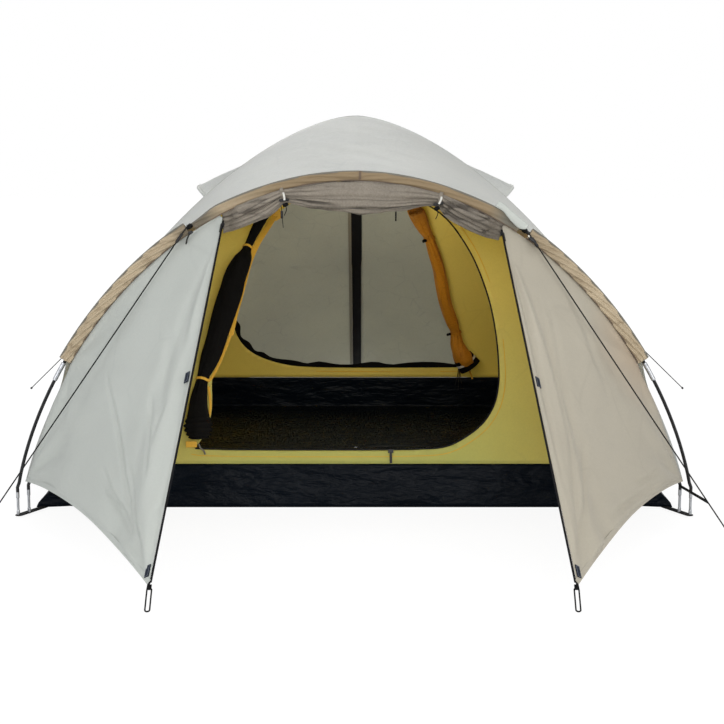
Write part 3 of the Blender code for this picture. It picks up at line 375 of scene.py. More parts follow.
def door_loop(side, grow=0.0):
    """The D door's edge in X and Z, from the sill at its straight side round to the top and down again."""
    curve, straight = DOOR_EDGES[side]
    points = smooth_path([(x, 0, z) for x, z in curve + straight + curve[:1]], 6)[:-1]
    moved = []
    for k, point in enumerate(points):
        along = (points[(k + 1) % len(points)] - points[k - 1]).normalized()
        out = Vector((along.z, 0, -along.x)) * (1 if side < 0 else -1)
        moved.append((point.x + out.x * grow, point.z + out.z * grow))
    return moved


def door_curve(side, grow=0.0):
    """The part of the door's edge that its zip follows."""
    return door_loop(side, grow)[:6 * (len(DOOR_EDGES[side][0]) - 1) + 1]


def wall_point(x, z, side, off=0.0):
    """A point off the inner tent's end wall, and the way that the wall faces there."""
    step = 0.005
    fall = FLOOR_Y * (dome_u_at(z - step, INNER_TOP) - dome_u_at(z + step, INNER_TOP))
    out = Vector((0, side * 2 * step, fall)).normalized()
    place = Vector((x, side * dome_u_at(z, INNER_TOP) * FLOOR_Y, z))
    return place + out * off, out


def line_ends(index):
    """A guy line's ends: 0 front left, 1 front right, 2 rear left, 3 rear right."""
    side = -1 if index % 2 == 0 else 1
    if index < 2:
        centre, outward = arch_point(arch_angle_at_x(FRONT_LINE_X[index]))
        reach = POLE_RADIUS + 2 * GAP + LOOP_THICKNESS + LINE_RADIUS
        start = centre + (outward * 0.6 + Vector((0, -0.8, 0))) * reach
        ground = (side * FRONT_GROUND[0], FRONT_GROUND[1])
    else:
        half_x, half_y, top = fly_sizes()
        step = 0.01
        fall = dome_height(REAR_LINE_U - step, top) - dome_height(REAR_LINE_U + step, top)
        normal = Vector((side * fall, fall * half_y / half_x, 2 * step * hypot(half_x, half_y))).normalized()
        start = Vector((side * REAR_LINE_U * half_x, REAR_LINE_U * half_y, dome_height(REAR_LINE_U, top)))
        start = start + normal * (LINE_RADIUS + 0.2 * GAP)
        ground = (side * REAR_GROUND[0], REAR_GROUND[1])
    return start, Vector((ground[0], ground[1], LINE_RADIUS + 0.001))


# making pieces


def make_normals(grid):
    along = np.gradient(grid, axis=0)
    across = np.gradient(grid, axis=1)
    normal = np.cross(along, across)
    length = np.linalg.norm(normal, axis=2, keepdims=True)
    return normal / np.maximum(length, 1e-9)


def faced(grid, outside):
    """The grid, turned if need be so that its normals point to the outside point's side."""
    grid = np.array([[tuple(point) for point in row] for row in grid])
    normal = make_normals(grid)
    away = grid - np.array(tuple(outside))
    if (normal * away).sum() < 0:
        grid = grid[:, ::-1]
    return grid


def raised(grid, height):
    """The grid moved along its normals by height(i, j, s, t, point), where s and t run 0 to 1 over it."""
    normal = make_normals(grid)
    rows, columns = grid.shape[:2]
    moved = grid.copy()
    for i in range(rows):
        for j in range(columns):
            moved[i, j] += normal[i, j] * height(i, j, i / (rows - 1), j / (columns - 1), grid[i, j])
    return moved


def finish_object(name, mesh, material):
    mesh.materials.append(material)
    piece = bpy.data.objects.new(name, mesh)
    bpy.context.scene.collection.objects.link(piece)
    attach(piece, BODY)
    return piece


def thicken(piece, thickness):
    thick = piece.modifiers.new("thickness", "SOLIDIFY")
    thick.thickness = thickness
    thick.offset = -1


def grid_piece(name, grid, material, thickness=CLOTH, keep=None):
    """A cloth from a grid of points, with a map in metres along its rows and columns."""
    rows, columns = grid.shape[:2]
    faces = []
    for i in range(rows - 1):
        for j in range(columns - 1):
            if keep is None or keep(i, j):
                a = i * columns + j
                faces.append((a, a + 1, a + columns + 1, a + columns))
    across = np.zeros((rows, columns))
    across[:, 1:] = np.cumsum(np.linalg.norm(np.diff(grid, axis=1), axis=2), axis=1)
    along = np.zeros((rows, columns))
    along[1:] = np.cumsum(np.linalg.norm(np.diff(grid, axis=0), axis=2), axis=0)
    across -= across[:, columns // 2:columns // 2 + 1]
    places = np.stack([across, along], axis=2).reshape(-1, 2)
    mesh = bpy.data.meshes.new(name)
    mesh.from_pydata([tuple(p) for p in grid.reshape(-1, 3)], [], faces)
    layer = mesh.uv_layers.new(name=UV)
    corners = np.zeros(len(mesh.loops), np.int32)
    mesh.loops.foreach_get("vertex_index", corners)
    layer.data.foreach_set("uv", places[corners].astype(np.float32).ravel())
    mesh.validate()
    mesh.shade_smooth()
    clean = bmesh.new()
    clean.from_mesh(mesh)
    loose = [v for v in clean.verts if not v.link_faces]
    bmesh.ops.delete(clean, geom=loose, context="VERTS")
    clean.to_mesh(mesh)
    clean.free()
    piece = finish_object(name, mesh, material)
    thicken(piece, thickness)
    return piece


def lofted(name, rings, material, closed=False, capped=True, sharp=None):
    """A skin through rings of as many points, mapped in metres along and round."""
    rings = np.array([[tuple(p) for p in ring] for ring in rings])
    rows, count = rings.shape[:2]
    faces = []
    last = rows if closed else rows - 1
    for i in range(last):
        k = (i + 1) % rows
        for j in range(count):
            n = (j + 1) % count
            faces.append((i * count + j, i * count + n, k * count + n, k * count + j))
    if capped and not closed:
        faces.append(tuple(range(count - 1, -1, -1)))
        faces.append(tuple((rows - 1) * count + j for j in range(count)))
    middle = rings.mean(axis=1)
    along = np.concatenate([[0], np.cumsum(np.linalg.norm(np.diff(middle, axis=0), axis=1))])
    loop = np.concatenate([rings, rings[:, :1]], axis=1)
    around = np.zeros((rows, count + 1))
    around[:, 1:] = np.cumsum(np.linalg.norm(np.diff(loop, axis=1), axis=2), axis=1)
    mesh = bpy.data.meshes.new(name)
    mesh.from_pydata([tuple(p) for p in rings.reshape(-1, 3)], [], faces)
    layer = mesh.uv_layers.new(name=UV)
    for face in mesh.polygons:
        corners = list(face.loop_indices)
        if len(corners) != 4:
            for c in corners:
                p = mesh.vertices[mesh.loops[c].vertex_index].co
                layer.data[c].uv = (p.x, p.z)
            continue
        i, j = divmod(face.index, count)
        places = ((i, j), (i, j + 1), (i + 1, j + 1), (i + 1, j))
        for c, (row, column) in zip(corners, places):
            layer.data[c].uv = (around[row % rows, column], along[min(row, rows - 1)])
    mesh.shade_smooth()
    shape = bmesh.new()
    shape.from_mesh(mesh)
    bmesh.ops.recalc_face_normals(shape, faces=shape.faces)
    shape.to_mesh(mesh)
    shape.free()
    if sharp is not None:
        mesh.set_sharp_from_angle(angle=radians(sharp))
    return finish_object(name, mesh, material)


def way_at(path, k):
    """The way along a path at its point k."""
    return (path[min(k + 1, len(path) - 1)] - path[max(k - 1, 0)]).normalized()


def frames_along(path):
    """(point, side, up) along a path, turned as little as can be from each to the next."""
    path = [Vector(p) for p in path]
    ways = [way_at(path, k) for k in range(len(path))]
    seed = Vector((0, 0, 1)) if abs(ways[0].z) < 0.9 else Vector((0, 1, 0))
    side = ways[0].cross(seed).normalized()
    found = []
    for point, way in zip(path, ways):
        side = (side - way * side.dot(way)).normalized()
        found.append((point, side, way.cross(side)))
    return found


def ellipse(centre, side, up, count):
    """A ring of points about a centre. side and up reach to its edge."""
    turns = [2 * pi * n / count for n in range(count)]
    return [centre + side * cos(turn) + up * sin(turn) for turn in turns]


def tube(name, path, radius, material, sides=10):
    rings = [ellipse(point, side * radius, up * radius, sides) for point, side, up in frames_along(path)]
    return lofted(name, rings, material, sharp=50)


def ribbon(name, path, outs, width, thickness, material):
    """A flat tape along a path, its faces towards outs, with softly rounded edges."""
    path = [Vector(p) for p in path]
    half = width / 2
    lift = thickness / 2
    profile = ((1, 0.3), (0.97, 1), (0.5, 1.02), (-0.5, 1.02), (-0.97, 1), (-1, 0.3))
    profile += ((-1, -0.3), (-0.97, -1), (0.97, -1), (1, -0.3))
    rings = []
    for k, point in enumerate(path):
        along = way_at(path, k)
        side = along.cross(outs[k] if isinstance(outs, list) else outs).normalized()
        up = side.cross(along)
        rings.append([point + side * half * a + up * lift * b for a, b in profile])
    return lofted(name, rings, material, sharp=50)


def block(name, centre, axes, sizes, bevel, material):
    """A small moulded or cut piece with rounded edges."""
    shape = bmesh.new()
    bmesh.ops.create_cube(shape, size=1)
    bmesh.ops.scale(shape, vec=sizes, verts=shape.verts)
    bmesh.ops.bevel(shape, geom=shape.edges[:], offset=bevel, segments=3, affect="EDGES", profile=0.5)
    turn = Matrix([Vector(axis).normalized() for axis in axes]).transposed().to_4x4()
    turn.translation = Vector(centre)
    bmesh.ops.transform(shape, matrix=turn, verts=shape.verts)
    mesh = bpy.data.meshes.new(name)
    shape.to_mesh(mesh)
    shape.free()
    mesh.shade_smooth()
    mesh.uv_layers.new(name=UV)
    return finish_object(name, mesh, material)


def smooth_path(points, between=8):
    """An even curve through points."""
    points = [Vector(p) for p in points]
    found = []
    last = len(points) - 1
    for k in range(last):
        a = points[max(0, k - 1)]
        b = points[k]
        c = points[k + 1]
        d = points[min(last, k + 2)]
        squared = 2 * a - 5 * b + 4 * c - d
        cubed = 3 * b - a - 3 * c + d
        for n in range(between):
            t = n / between
            found.append(0.5 * (2 * b + (c - a) * t + squared * t * t + cubed * t ** 3))
    return found + [points[last]]


def cut_hole(piece, cutter):
    """Takes cutter out of piece, and makes what its modifiers show its own mesh."""
    hole = piece.modifiers.new("hole", "BOOLEAN")
    hole.operation = "DIFFERENCE"
    hole.solver = "EXACT"
    hole.object = cutter
    bpy.context.view_layer.update()
    graph = bpy.context.evaluated_depsgraph_get()
    shown = piece.evaluated_get(graph)
    made = bpy.data.meshes.new_from_object(shown, preserve_all_data_layers=True, depsgraph=graph)
    piece.modifiers.clear()
    piece.data = made
    bpy.data.objects.remove(cutter)




# materials: every one is made of nodes


class Nodes:
    """Short names for building the nodes of a material or a world."""

    def __init__(self, owner):
        owner.use_nodes = True
        self.owner = owner
        self.tree = owner.node_tree
        self.shader = self.tree.nodes.get("Principled BSDF")

    def add(self, kind, **settings):
        node = self.tree.nodes.new(kind)
        for key, value in settings.items():
            setattr(node, key, value)
        return node

    def link(self, source, target):
        self.tree.links.new(source, target)

    def put(self, target, value):
        if isinstance(value, bpy.types.NodeSocket):
            self.link(value, target)
        else:
            target.default_value = value

    def fill(self, node, **values):
        """Sets a node's inputs, or links what comes from another. An input's name has _ for a space."""
        for key, value in values.items():
            self.put(node.inputs[key.replace("_", " ")], value)

    def math(self, operation, a, b=0.0, clamp=False):
        node = self.add("ShaderNodeMath", operation=operation, use_clamp=clamp)
        self.put(node.inputs[0], a)
        self.put(node.inputs[1], b)
        return node.outputs[0]

    def place(self, kind="Object", scale=(1, 1, 1)):
        """Object places in metres, or the cloth's own map."""
        if kind == "Object":
            source = self.add("ShaderNodeTexCoord").outputs["Object"]
        else:
            source = self.add("ShaderNodeUVMap", uv_map=UV).outputs["UV"]
        mapping = self.add("ShaderNodeMapping")
        self.fill(mapping, Scale=scale, Vector=source)
        return mapping.outputs["Vector"]

    def noise(self, place, scale, detail=3.0, rough=0.5, distortion=0.0):
        node = self.add("ShaderNodeTexNoise")
        self.fill(node, Vector=place, Scale=scale, Detail=detail, Roughness=rough, Distortion=distortion)
        return node.outputs[0]

    def wave(self, place, period, direction="X", distortion=0.0):
        node = self.add("ShaderNodeTexWave", wave_type="BANDS", bands_direction=direction)
        self.fill(node, Vector=place, Scale=2 * pi / (20 * period), Distortion=distortion)
        return node.outputs["Fac"]

    def spread(self, value, low, high, to_low, to_high):
        node = self.add("ShaderNodeMapRange")
        self.fill(node, Value=value, From_Min=low, From_Max=high, To_Min=to_low, To_Max=to_high)
        return node.outputs[0]

    def blend(self, share, a, b):
        node = self.add("ShaderNodeMix", data_type="RGBA")
        self.put(node.inputs["Factor"], share)
        for target, value in ((node.inputs[6], a), (node.inputs[7], b)):
            self.put(target, value if isinstance(value, bpy.types.NodeSocket) else (*value, 1.0))
        return node.outputs[2]

    def near(self, centre, inner, outer):
        """1 within inner of the centre, 0 beyond outer, in metres."""
        away = self.add("ShaderNodeVectorMath", operation="DISTANCE")
        self.link(self.place(), away.inputs[0])
        away.inputs[1].default_value = centre
        return self.spread(away.outputs["Value"], inner, outer, 1.0, 0.0)

    def painted_crease_shade(self, place, scale, depth, width):
        """Painted crease shade: thin wandering lines that darken the colour where creases would be shaded, 0
        between them and depth on them.
        """
        wobble = self.add("ShaderNodeTexNoise")
        self.fill(wobble, Vector=place, Scale=scale * 1.3)
        smaller = self.add("ShaderNodeVectorMath", operation="SCALE")
        self.link(wobble.outputs["Color"], smaller.inputs[0])
        smaller.inputs["Scale"].default_value = 0.25 / scale
        shaken = self.add("ShaderNodeVectorMath", operation="ADD")
        self.link(place, shaken.inputs[0])
        self.link(smaller.outputs[0], shaken.inputs[1])
        cells = self.add("ShaderNodeTexVoronoi", feature="DISTANCE_TO_EDGE")
        self.fill(cells, Vector=shaken.outputs[0], Scale=scale)
        line = self.spread(cells.outputs["Distance"], 0.0, width, depth, 0.0)
        shown = self.spread(self.noise(place, scale * 1.1, 2.0, 0.5), 0.46, 0.62, 0.0, 1.0)
        return self.math("MULTIPLY", line, shown)

    def bump(self, height, distance, strength=1.0, under=None):
        node = self.add("ShaderNodeBump")
        self.fill(node, Distance=distance, Strength=strength, Height=height)
        if under:
            self.link(under, node.inputs["Normal"])
        return node.outputs["Normal"]

    def surface(self, colour, rough, normal, shine=0.5):
        """Joins the shader's main inputs."""
        self.fill(self.shader, Base_Color=colour, Roughness=rough, Normal=normal, Specular_IOR_Level=shine)

    def between(self, share, a, b):
        """A shader share of the way from a to b."""
        node = self.add("ShaderNodeMixShader")
        for target, value in zip(node.inputs, (share, a, b)):
            self.put(target, value)
        return node.outputs[0]

    def show(self, shader):
        kind = "Material Output" if self.shader else "World Output"
        self.link(shader, self.tree.nodes[kind].inputs["Surface"])


def new_material(name):
    return Nodes(bpy.data.materials.new(name))


def weave_of(m, period):
    """Height of a plain weave: over and under threads."""
    place = m.place("Map")
    across = m.wave(place, period, "X")
    along = m.wave(place, period, "Y")
    return m.math("ADD", m.math("MULTIPLY", across, 0.5), m.math("MULTIPLY", along, 0.5))


def cloth(name, colour, deep, rough=0.62, weave=0.0011, weave_depth=0.00012, crinkle=0.0022,
          crinkle_scale=9.0, through=0.0, glow=None, sheen=0.1, stretch=(1, 1, 1), mottle=0.35,
          shine=0.3, lines=0.0, line_scale=6.0, line_width=0.035, painted_light_patches=()):
    """Woven cloth: colour with slow and fine changes, weave and small creases, and light through it.

    Each patch of the last argument is (centre, inner, outer, colour): painted light where its colour is
    paler than the cloth's, and painted shade where it is darker.
    """
    m = new_material(name)
    space = m.place()
    drawn = m.place("Object", stretch)
    slow = m.noise(space, 2.3, 4.0, 0.55)
    fine = m.noise(space, 180.0, 2.0, 0.6)
    weave_height = weave_of(m, weave)
    tone = m.math("ADD", m.spread(slow, 0.3, 0.7, 0.0, mottle), m.spread(fine, 0.3, 0.7, 0.0, 0.25))
    tone = m.math("ADD", tone, m.spread(weave_height, 0.0, 1.0, 0.2, 0.0), clamp=True)
    # painted shade: dark crease lines blended into the colour
    if lines:
        tone = m.math("ADD", tone, m.painted_crease_shade(drawn, line_scale, lines, line_width), clamp=True)
    paint = m.blend(tone, colour, deep)
    # painted light and shade: patches of another colour by place
    for centre, inner, outer, shade in painted_light_patches:
        paint = m.blend(m.near(centre, inner, outer), paint, shade)
    creases = m.noise(drawn, crinkle_scale, 5.0, 0.5, 0.35)
    folds = m.noise(drawn, crinkle_scale * 3.1, 3.0, 0.45, 0.8)
    normal = m.bump(m.math("ADD", creases, m.math("MULTIPLY", folds, 0.22)), crinkle, 0.8)
    normal = m.bump(weave_height, weave_depth, 0.7, normal)
    m.surface(paint, m.spread(fine, 0.3, 0.7, rough - 0.06, rough + 0.08), normal, shine)
    m.fill(m.shader, Sheen_Weight=sheen, Sheen_Roughness=0.4)
    if through:
        light = m.add("ShaderNodeBsdfTranslucent")
        m.fill(light, Color=m.blend(tone, glow, deep), Normal=normal)
        m.show(m.between(through, m.shader.outputs[0], light.outputs[0]))
    return m.owner


def binding(name, colour, deep, **more):
    """Narrow cloth that edges another."""
    return cloth(name, colour, deep, weave=0.0009, crinkle=0.0005, crinkle_scale=60.0, **more)


def webbing(name, colour, deep, period=0.0022):
    """Narrow woven tape: a ribbed weave with paler worn threads."""
    m = new_material(name)
    space = m.place()
    slanted = m.wave(space, period, "DIAGONAL")
    ribs = m.wave(space, period * 0.6, "Z")
    fine = m.noise(space, 420.0, 3.0, 0.6)
    wear = m.noise(space, 22.0, 3.0, 0.6)
    height = m.math("ADD", slanted, m.math("MULTIPLY", ribs, 0.5))
    threads = m.spread(fine, 0.35, 0.7, 0.0, 0.6)
    tone = m.math("ADD", threads, m.spread(wear, 0.5, 0.75, 0.0, 0.4), clamp=True)
    rough = m.spread(wear, 0.3, 0.7, 0.7, 0.88)
    m.surface(m.blend(tone, deep, colour), rough, m.bump(height, 0.0004, 0.8), 0.08)
    return m.owner


def moulded(name, colour, worn):
    """Injection-moulded plastic: a fine grain, duller patches and scuffed paler spots."""
    m = new_material(name)
    space = m.place()
    grain = m.noise(space, 900.0, 2.0, 0.6)
    scuffs = m.noise(space, 45.0, 5.0, 0.65, 0.6)
    paint = m.blend(m.spread(scuffs, 0.55, 0.8, 0.0, 1.0), colour, worn)
    m.surface(paint, m.spread(scuffs, 0.3, 0.8, 0.34, 0.62), m.bump(grain, 0.00008, 0.5), 0.25)
    return m.owner


def lacquered(name, colour, worn):
    """A wound glass-fibre pole: gloss with faint spiral winding and rubbed places."""
    m = new_material(name)
    space = m.place()
    winding = m.wave(space, 0.006, "DIAGONAL", distortion=0.6)
    rubbed = m.noise(space, 35.0, 4.0, 0.6)
    paint = m.blend(m.spread(rubbed, 0.55, 0.8, 0.0, 0.8), colour, worn)
    m.surface(paint, m.spread(rubbed, 0.3, 0.75, 0.2, 0.42), m.bump(winding, 0.00006, 0.5), 0.25)
    m.fill(m.shader, Coat_Weight=0.12, Coat_Roughness=0.15)
    return m.owner


def turned_metal(name, colour, dull):
    """Drawn aluminium: fine lines along it, dull spots and small scratches."""
    m = new_material(name)
    lines = m.noise(m.place("Object", (1, 1, 0.08)), 700.0, 3.0, 0.6)
    spots = m.noise(m.place(), 60.0, 4.0, 0.6)
    paint = m.blend(m.spread(spots, 0.45, 0.75, 0.0, 1.0), colour, dull)
    m.surface(paint, m.spread(lines, 0.3, 0.7, 0.26, 0.45), m.bump(lines, 0.00004, 0.5))
    m.fill(m.shader, Metallic=1.0)
    return m.owner


def braided(name, colour, fleck):
    """Braided cord: crossing strands with paler flecks."""
    m = new_material(name)
    one = m.wave(m.place("Map"), 0.0021, "DIAGONAL")
    other = m.wave(m.place("Map", (-1, 1, 1)), 0.0021, "DIAGONAL")
    strands = m.math("MAXIMUM", one, other)
    flecks = m.noise(m.place(), 260.0, 2.0, 0.7)
    paint = m.blend(m.spread(flecks, 0.5, 0.72, 0.0, 0.7), colour, fleck)
    m.surface(paint, m.spread(flecks, 0.3, 0.7, 0.7, 0.9), m.bump(strands, 0.0004, 0.9), 0.15)
    return m.owner


def zip_tape(name, colour, coil):
    """Zip tape with its coil along the middle of the map."""
    m = new_material(name)
    teeth = m.wave(m.place("Map"), 0.0024, "Y")
    fine = m.noise(m.place(), 500.0, 2.0, 0.6)
    paint = m.blend(m.spread(fine, 0.4, 0.7, 0.0, 0.7), colour, coil)
    m.surface(paint, m.spread(fine, 0.3, 0.7, 0.5, 0.75), m.bump(teeth, 0.0006, 0.8), 0.15)
    return m.owner

# painted shade: each cloth's lines sets how dark its creases are painted

# painted light: the fly is paler towards its front on both sides, the right more than the left
FLY = cloth("fly_cloth", (0.50, 0.512, 0.492), (0.43, 0.442, 0.42), through=0.36, glow=(0.62, 0.60, 0.48),
            crinkle=0.005, crinkle_scale=6.0, lines=0.25,
            painted_light_patches=(((0.62, -0.75, 0.82), 0.05, 0.75, (0.66, 0.665, 0.635)),
                   ((-0.62, -0.75, 0.82), 0.05, 0.6, (0.56, 0.575, 0.55))))
# painted shade: a darker, more olive copy of the fly cloth for the rear wall, whose inside is seen in shade
REAR_FLY = cloth("rear_fly_cloth", (0.455, 0.46, 0.415), (0.33, 0.33, 0.30), through=0.5,
                 glow=(0.46, 0.455, 0.375), crinkle=0.012, lines=0.4, line_scale=11.0)
# painted light: a much paler copy of the fly cloth, for the vent hoods lit from behind
HOOD = cloth("hood_cloth", (0.80, 0.81, 0.79), (0.66, 0.67, 0.65), through=0.6, glow=(0.95, 0.95, 0.92),
             crinkle=0.006, crinkle_scale=16.0, lines=0.4, line_scale=18.0)
# painted light and shade: both vestibule walls are one sand cloth, paler and cooler here on the left, darker
# and warmer on the right from shade and the yellow inner's warm light
LEFT_PANEL = cloth("left_panel_cloth", (0.535, 0.56, 0.53), (0.455, 0.475, 0.445), through=0.28,
                   glow=(0.5, 0.5, 0.42), crinkle=0.005, crinkle_scale=5.0, stretch=(1, 1, 0.3), lines=0.3)
# painted shade: the right wall is darker and browner by the sleeve's lower right end
RIGHT_PANEL = cloth("right_panel_cloth", (0.475, 0.44, 0.36), (0.40, 0.365, 0.295), through=0.28,
                    glow=(0.46, 0.42, 0.32), crinkle=0.005, crinkle_scale=5.0, stretch=(1, 1, 0.3),
                    lines=0.3, painted_light_patches=(((0.93, -1.07, 0.56), 0.02, 0.24, (0.46, 0.365, 0.265)),))
# painted shade: the sleeve is darker over the doorway and darkest in its open ends by the gaps
SLEEVE = cloth("sleeve_cloth", (0.43, 0.355, 0.245), (0.25, 0.195, 0.125), crinkle=0.004, crinkle_scale=16.0,
               mottle=0.5, stretch=(0.3, 1, 1), lines=0.7, line_scale=16.0, line_width=0.10,
               painted_light_patches=(((0.1, -1.07, 1.12), 0.34, 0.66, (0.195, 0.142, 0.080)),
                      ((-0.482, -1.07, 0.93), 0.03, 0.09, (0.11, 0.092, 0.065)),
                      ((0.49, -1.07, 0.95), 0.02, 0.08, (0.12, 0.11, 0.085))))
# painted shade: the near-black second colour with lines darkens the roll's creases
TAUPE = cloth("door_cloth", (0.235, 0.205, 0.165), (0.050, 0.041, 0.031), crinkle=0.010, crinkle_scale=14.0,
              stretch=(0.10, 1, 1), lines=1.0, line_scale=24.0, line_width=0.12)
# painted shade: the inner cloth is darker and greener towards the foot of the front wall
YELLOW = cloth("inner_cloth", (0.86, 0.77, 0.24), (0.76, 0.64, 0.17), through=0.52, glow=(1.0, 0.83, 0.20),
               crinkle=0.004, crinkle_scale=5.0, lines=0.2,
               painted_light_patches=(((0.0, -0.95, 0.05), 0.35, 0.85, (0.50, 0.55, 0.18)),))
GOLD = cloth("inner_side_cloth", (0.90, 0.66, 0.11), (0.78, 0.53, 0.07), through=0.55,
             glow=(0.98, 0.70, 0.08), crinkle=0.004, crinkle_scale=5.0, lines=0.2)
# painted shade: the rolled rear door darkens near its top
ORANGE = cloth("rolled_orange_cloth", (0.66, 0.28, 0.016), (0.24, 0.085, 0.004), through=0.2,
               glow=(0.7, 0.3, 0.02), crinkle=0.010, crinkle_scale=12.0, stretch=(1, 1, 0.14), lines=0.5,
               line_scale=22.0, painted_light_patches=(((0.26, 0.42, 0.95), 0.03, 0.17, (0.22, 0.09, 0.010)),))
ORANGE_EDGE = cloth("orange_binding", (0.74, 0.42, 0.045), (0.55, 0.27, 0.02), crinkle=0.002,
                    crinkle_scale=30.0, stretch=(1, 1, 0.4))
MESH = cloth("fly_mesh", (0.008, 0.007, 0.006), (0.003, 0.003, 0.003), rough=0.8, weave=0.0016,
             weave_depth=0.0004, crinkle=0.008, crinkle_scale=16.0, stretch=(1, 1, 0.3), sheen=0.0,
             shine=0.05)
TUB = cloth("groundsheet", (0.003, 0.0052, 0.009), (0.001, 0.0015, 0.0025), rough=0.26, weave=0.0013,
            crinkle=0.030, crinkle_scale=16.0, sheen=0.0, stretch=(0.35, 1, 1), shine=0.05)
PIPING = binding("grey_binding", (0.15, 0.14, 0.115), (0.085, 0.08, 0.065))
BROWN_SEAM = binding("brown_seam", (0.12, 0.085, 0.055), (0.07, 0.045, 0.03))
BLACK_EDGE = binding("black_binding", (0.004, 0.004, 0.0045), (0.002, 0.002, 0.002), sheen=0.0, shine=0.06)
NAVY = cloth("navy_tab", (0.013, 0.018, 0.030), (0.007, 0.010, 0.018), weave=0.0012, weave_depth=0.0004,
             crinkle=0.0006, crinkle_scale=50.0, sheen=0.0, shine=0.1)
TAB_EDGE = cloth("tab_stitching", (0.10, 0.11, 0.13), (0.06, 0.065, 0.08), weave=0.0012, crinkle=0.0004,
                 crinkle_scale=50.0, sheen=0.0)
LACE = cloth("pale_tape", (0.52, 0.51, 0.47), (0.42, 0.41, 0.37), weave=0.0012, weave_depth=0.0003,
             crinkle=0.0006, crinkle_scale=50.0)
GREY_TAPE = cloth("grey_tape", (0.20, 0.19, 0.155), (0.14, 0.13, 0.105), weave=0.0012, weave_depth=0.0003,
                  crinkle=0.0008, crinkle_scale=40.0)
POLE = lacquered("pole_lacquer", (0.007, 0.007, 0.008), (0.026, 0.026, 0.028))
SILVER = turned_metal("aluminium", (0.40, 0.41, 0.43), (0.26, 0.27, 0.29))
WEBBING = webbing("woven_webbing", (0.010, 0.010, 0.011), (0.004, 0.004, 0.004))
PLASTIC = moulded("black_plastic", (0.008, 0.008, 0.009), (0.024, 0.024, 0.026))
CORD = braided("braided_cord", (0.008, 0.008, 0.008), (0.035, 0.035, 0.033))
GREY_CORD = braided("grey_cord", (0.13, 0.12, 0.10), (0.25, 0.24, 0.21))
ZIP = zip_tape("zip_coil", (0.007, 0.007, 0.008), (0.020, 0.020, 0.023))
ZIP_STRIP = webbing("zip_strip", (0.012, 0.012, 0.014), (0.005, 0.005, 0.006), 0.0026)


# the white room, lights and camera


def world_light():
    """Even light from all round, which shows as white to the camera, in metal and through cloth."""
    w = Nodes(bpy.data.worlds.new("room"))
    bpy.context.scene.world = w.owner
    light = w.tree.nodes["Background"]
    w.fill(light, Color=ROOM_COLOUR, Strength=ROOM_STRENGTH)
    white = w.add("ShaderNodeBackground")
    w.fill(white, Color=(1, 1, 1, 1), Strength=1.0)
    rays = w.add("ShaderNodeLightPath").outputs
    seen = w.math("MAXIMUM", rays["Is Glossy Ray"], rays["Is Transmission Ray"])
    seen = w.math("MAXIMUM", rays["Is Camera Ray"], seen)
    w.show(w.between(seen, light.outputs[0], white.outputs[0]))


def floor_material():
    """White, with a soft shadow under and round the tent that fades out with distance."""
    m = new_material("white_floor")
    m.fill(m.shader, Base_Color=(0.9, 0.9, 0.9, 1), Roughness=0.9, Specular_IOR_Level=0.0)
    white = m.add("ShaderNodeEmission")
    m.fill(white, Color=(1, 1, 1, 1), Strength=1.04)
    away = m.add("ShaderNodeVectorMath", operation="LENGTH")
    m.link(m.place(), away.inputs[0])
    far = m.spread(away.outputs["Value"], 1.2, 3.4, 0.86, 1.0)
    share = m.math("MULTIPLY", m.add("ShaderNodeLightPath").outputs["Is Camera Ray"], far)
    m.show(m.between(share, m.shader.outputs[0], white.outputs[0]))
    return m.owner


def lay_floor():
    mesh = bpy.data.meshes.new("floor")
    level = cad_low[2] - 0.001
    corners = [(x * FLOOR_HALF, y * FLOOR_HALF, level) for x, y in ((-1, -1), (1, -1), (1, 1), (-1, 1))]
    mesh.from_pydata(corners, [], [(0, 1, 2, 3)])
    mesh.materials.append(floor_material())
    floor = bpy.data.objects.new("floor", mesh)
    bpy.context.scene.collection.objects.link(floor)


def add_lamp(name, kind, place, power, colour):
    light = bpy.data.lights.new(name, kind)
    light.energy = power
    light.color = colour
    lamp = bpy.data.objects.new(name, light)
    lamp.location = place
    bpy.context.scene.collection.objects.link(lamp)
    return lamp


def area_light(name, place, target, size, power, colour=(1, 1, 1)):
    lamp = add_lamp(name, "AREA", place, power, colour)
    lamp.data.shape = "RECTANGLE"
    lamp.data.size, lamp.data.size_y = size
    lamp.rotation_euler = (Vector(target) - Vector(place)).to_track_quat("-Z", "Y").to_euler()


def inside_light(place, radius, power, colour):
    """A soft glow within the inner tent, as daylight through its cloth gives."""
    lamp = add_lamp("inside", "POINT", place, power, colour)
    lamp.data.shadow_soft_size = radius
    lamp.data.specular_factor = 0.0
    lamp.visible_camera = False


def set_camera():
    lens = bpy.data.cameras.new("camera")
    lens.lens = LENS
    lens.sensor_width = SENSOR
    camera = bpy.data.objects.new("camera", lens)
    camera.location = CAMERA_PLACE
    camera.rotation_euler = (pi / 2 - CAMERA_DOWN, 0, 0)
    scene = bpy.context.scene
    scene.collection.objects.link(camera)
    scene.camera = camera
    scene.view_settings.view_transform = "Standard"
    scene.view_settings.look = "None"


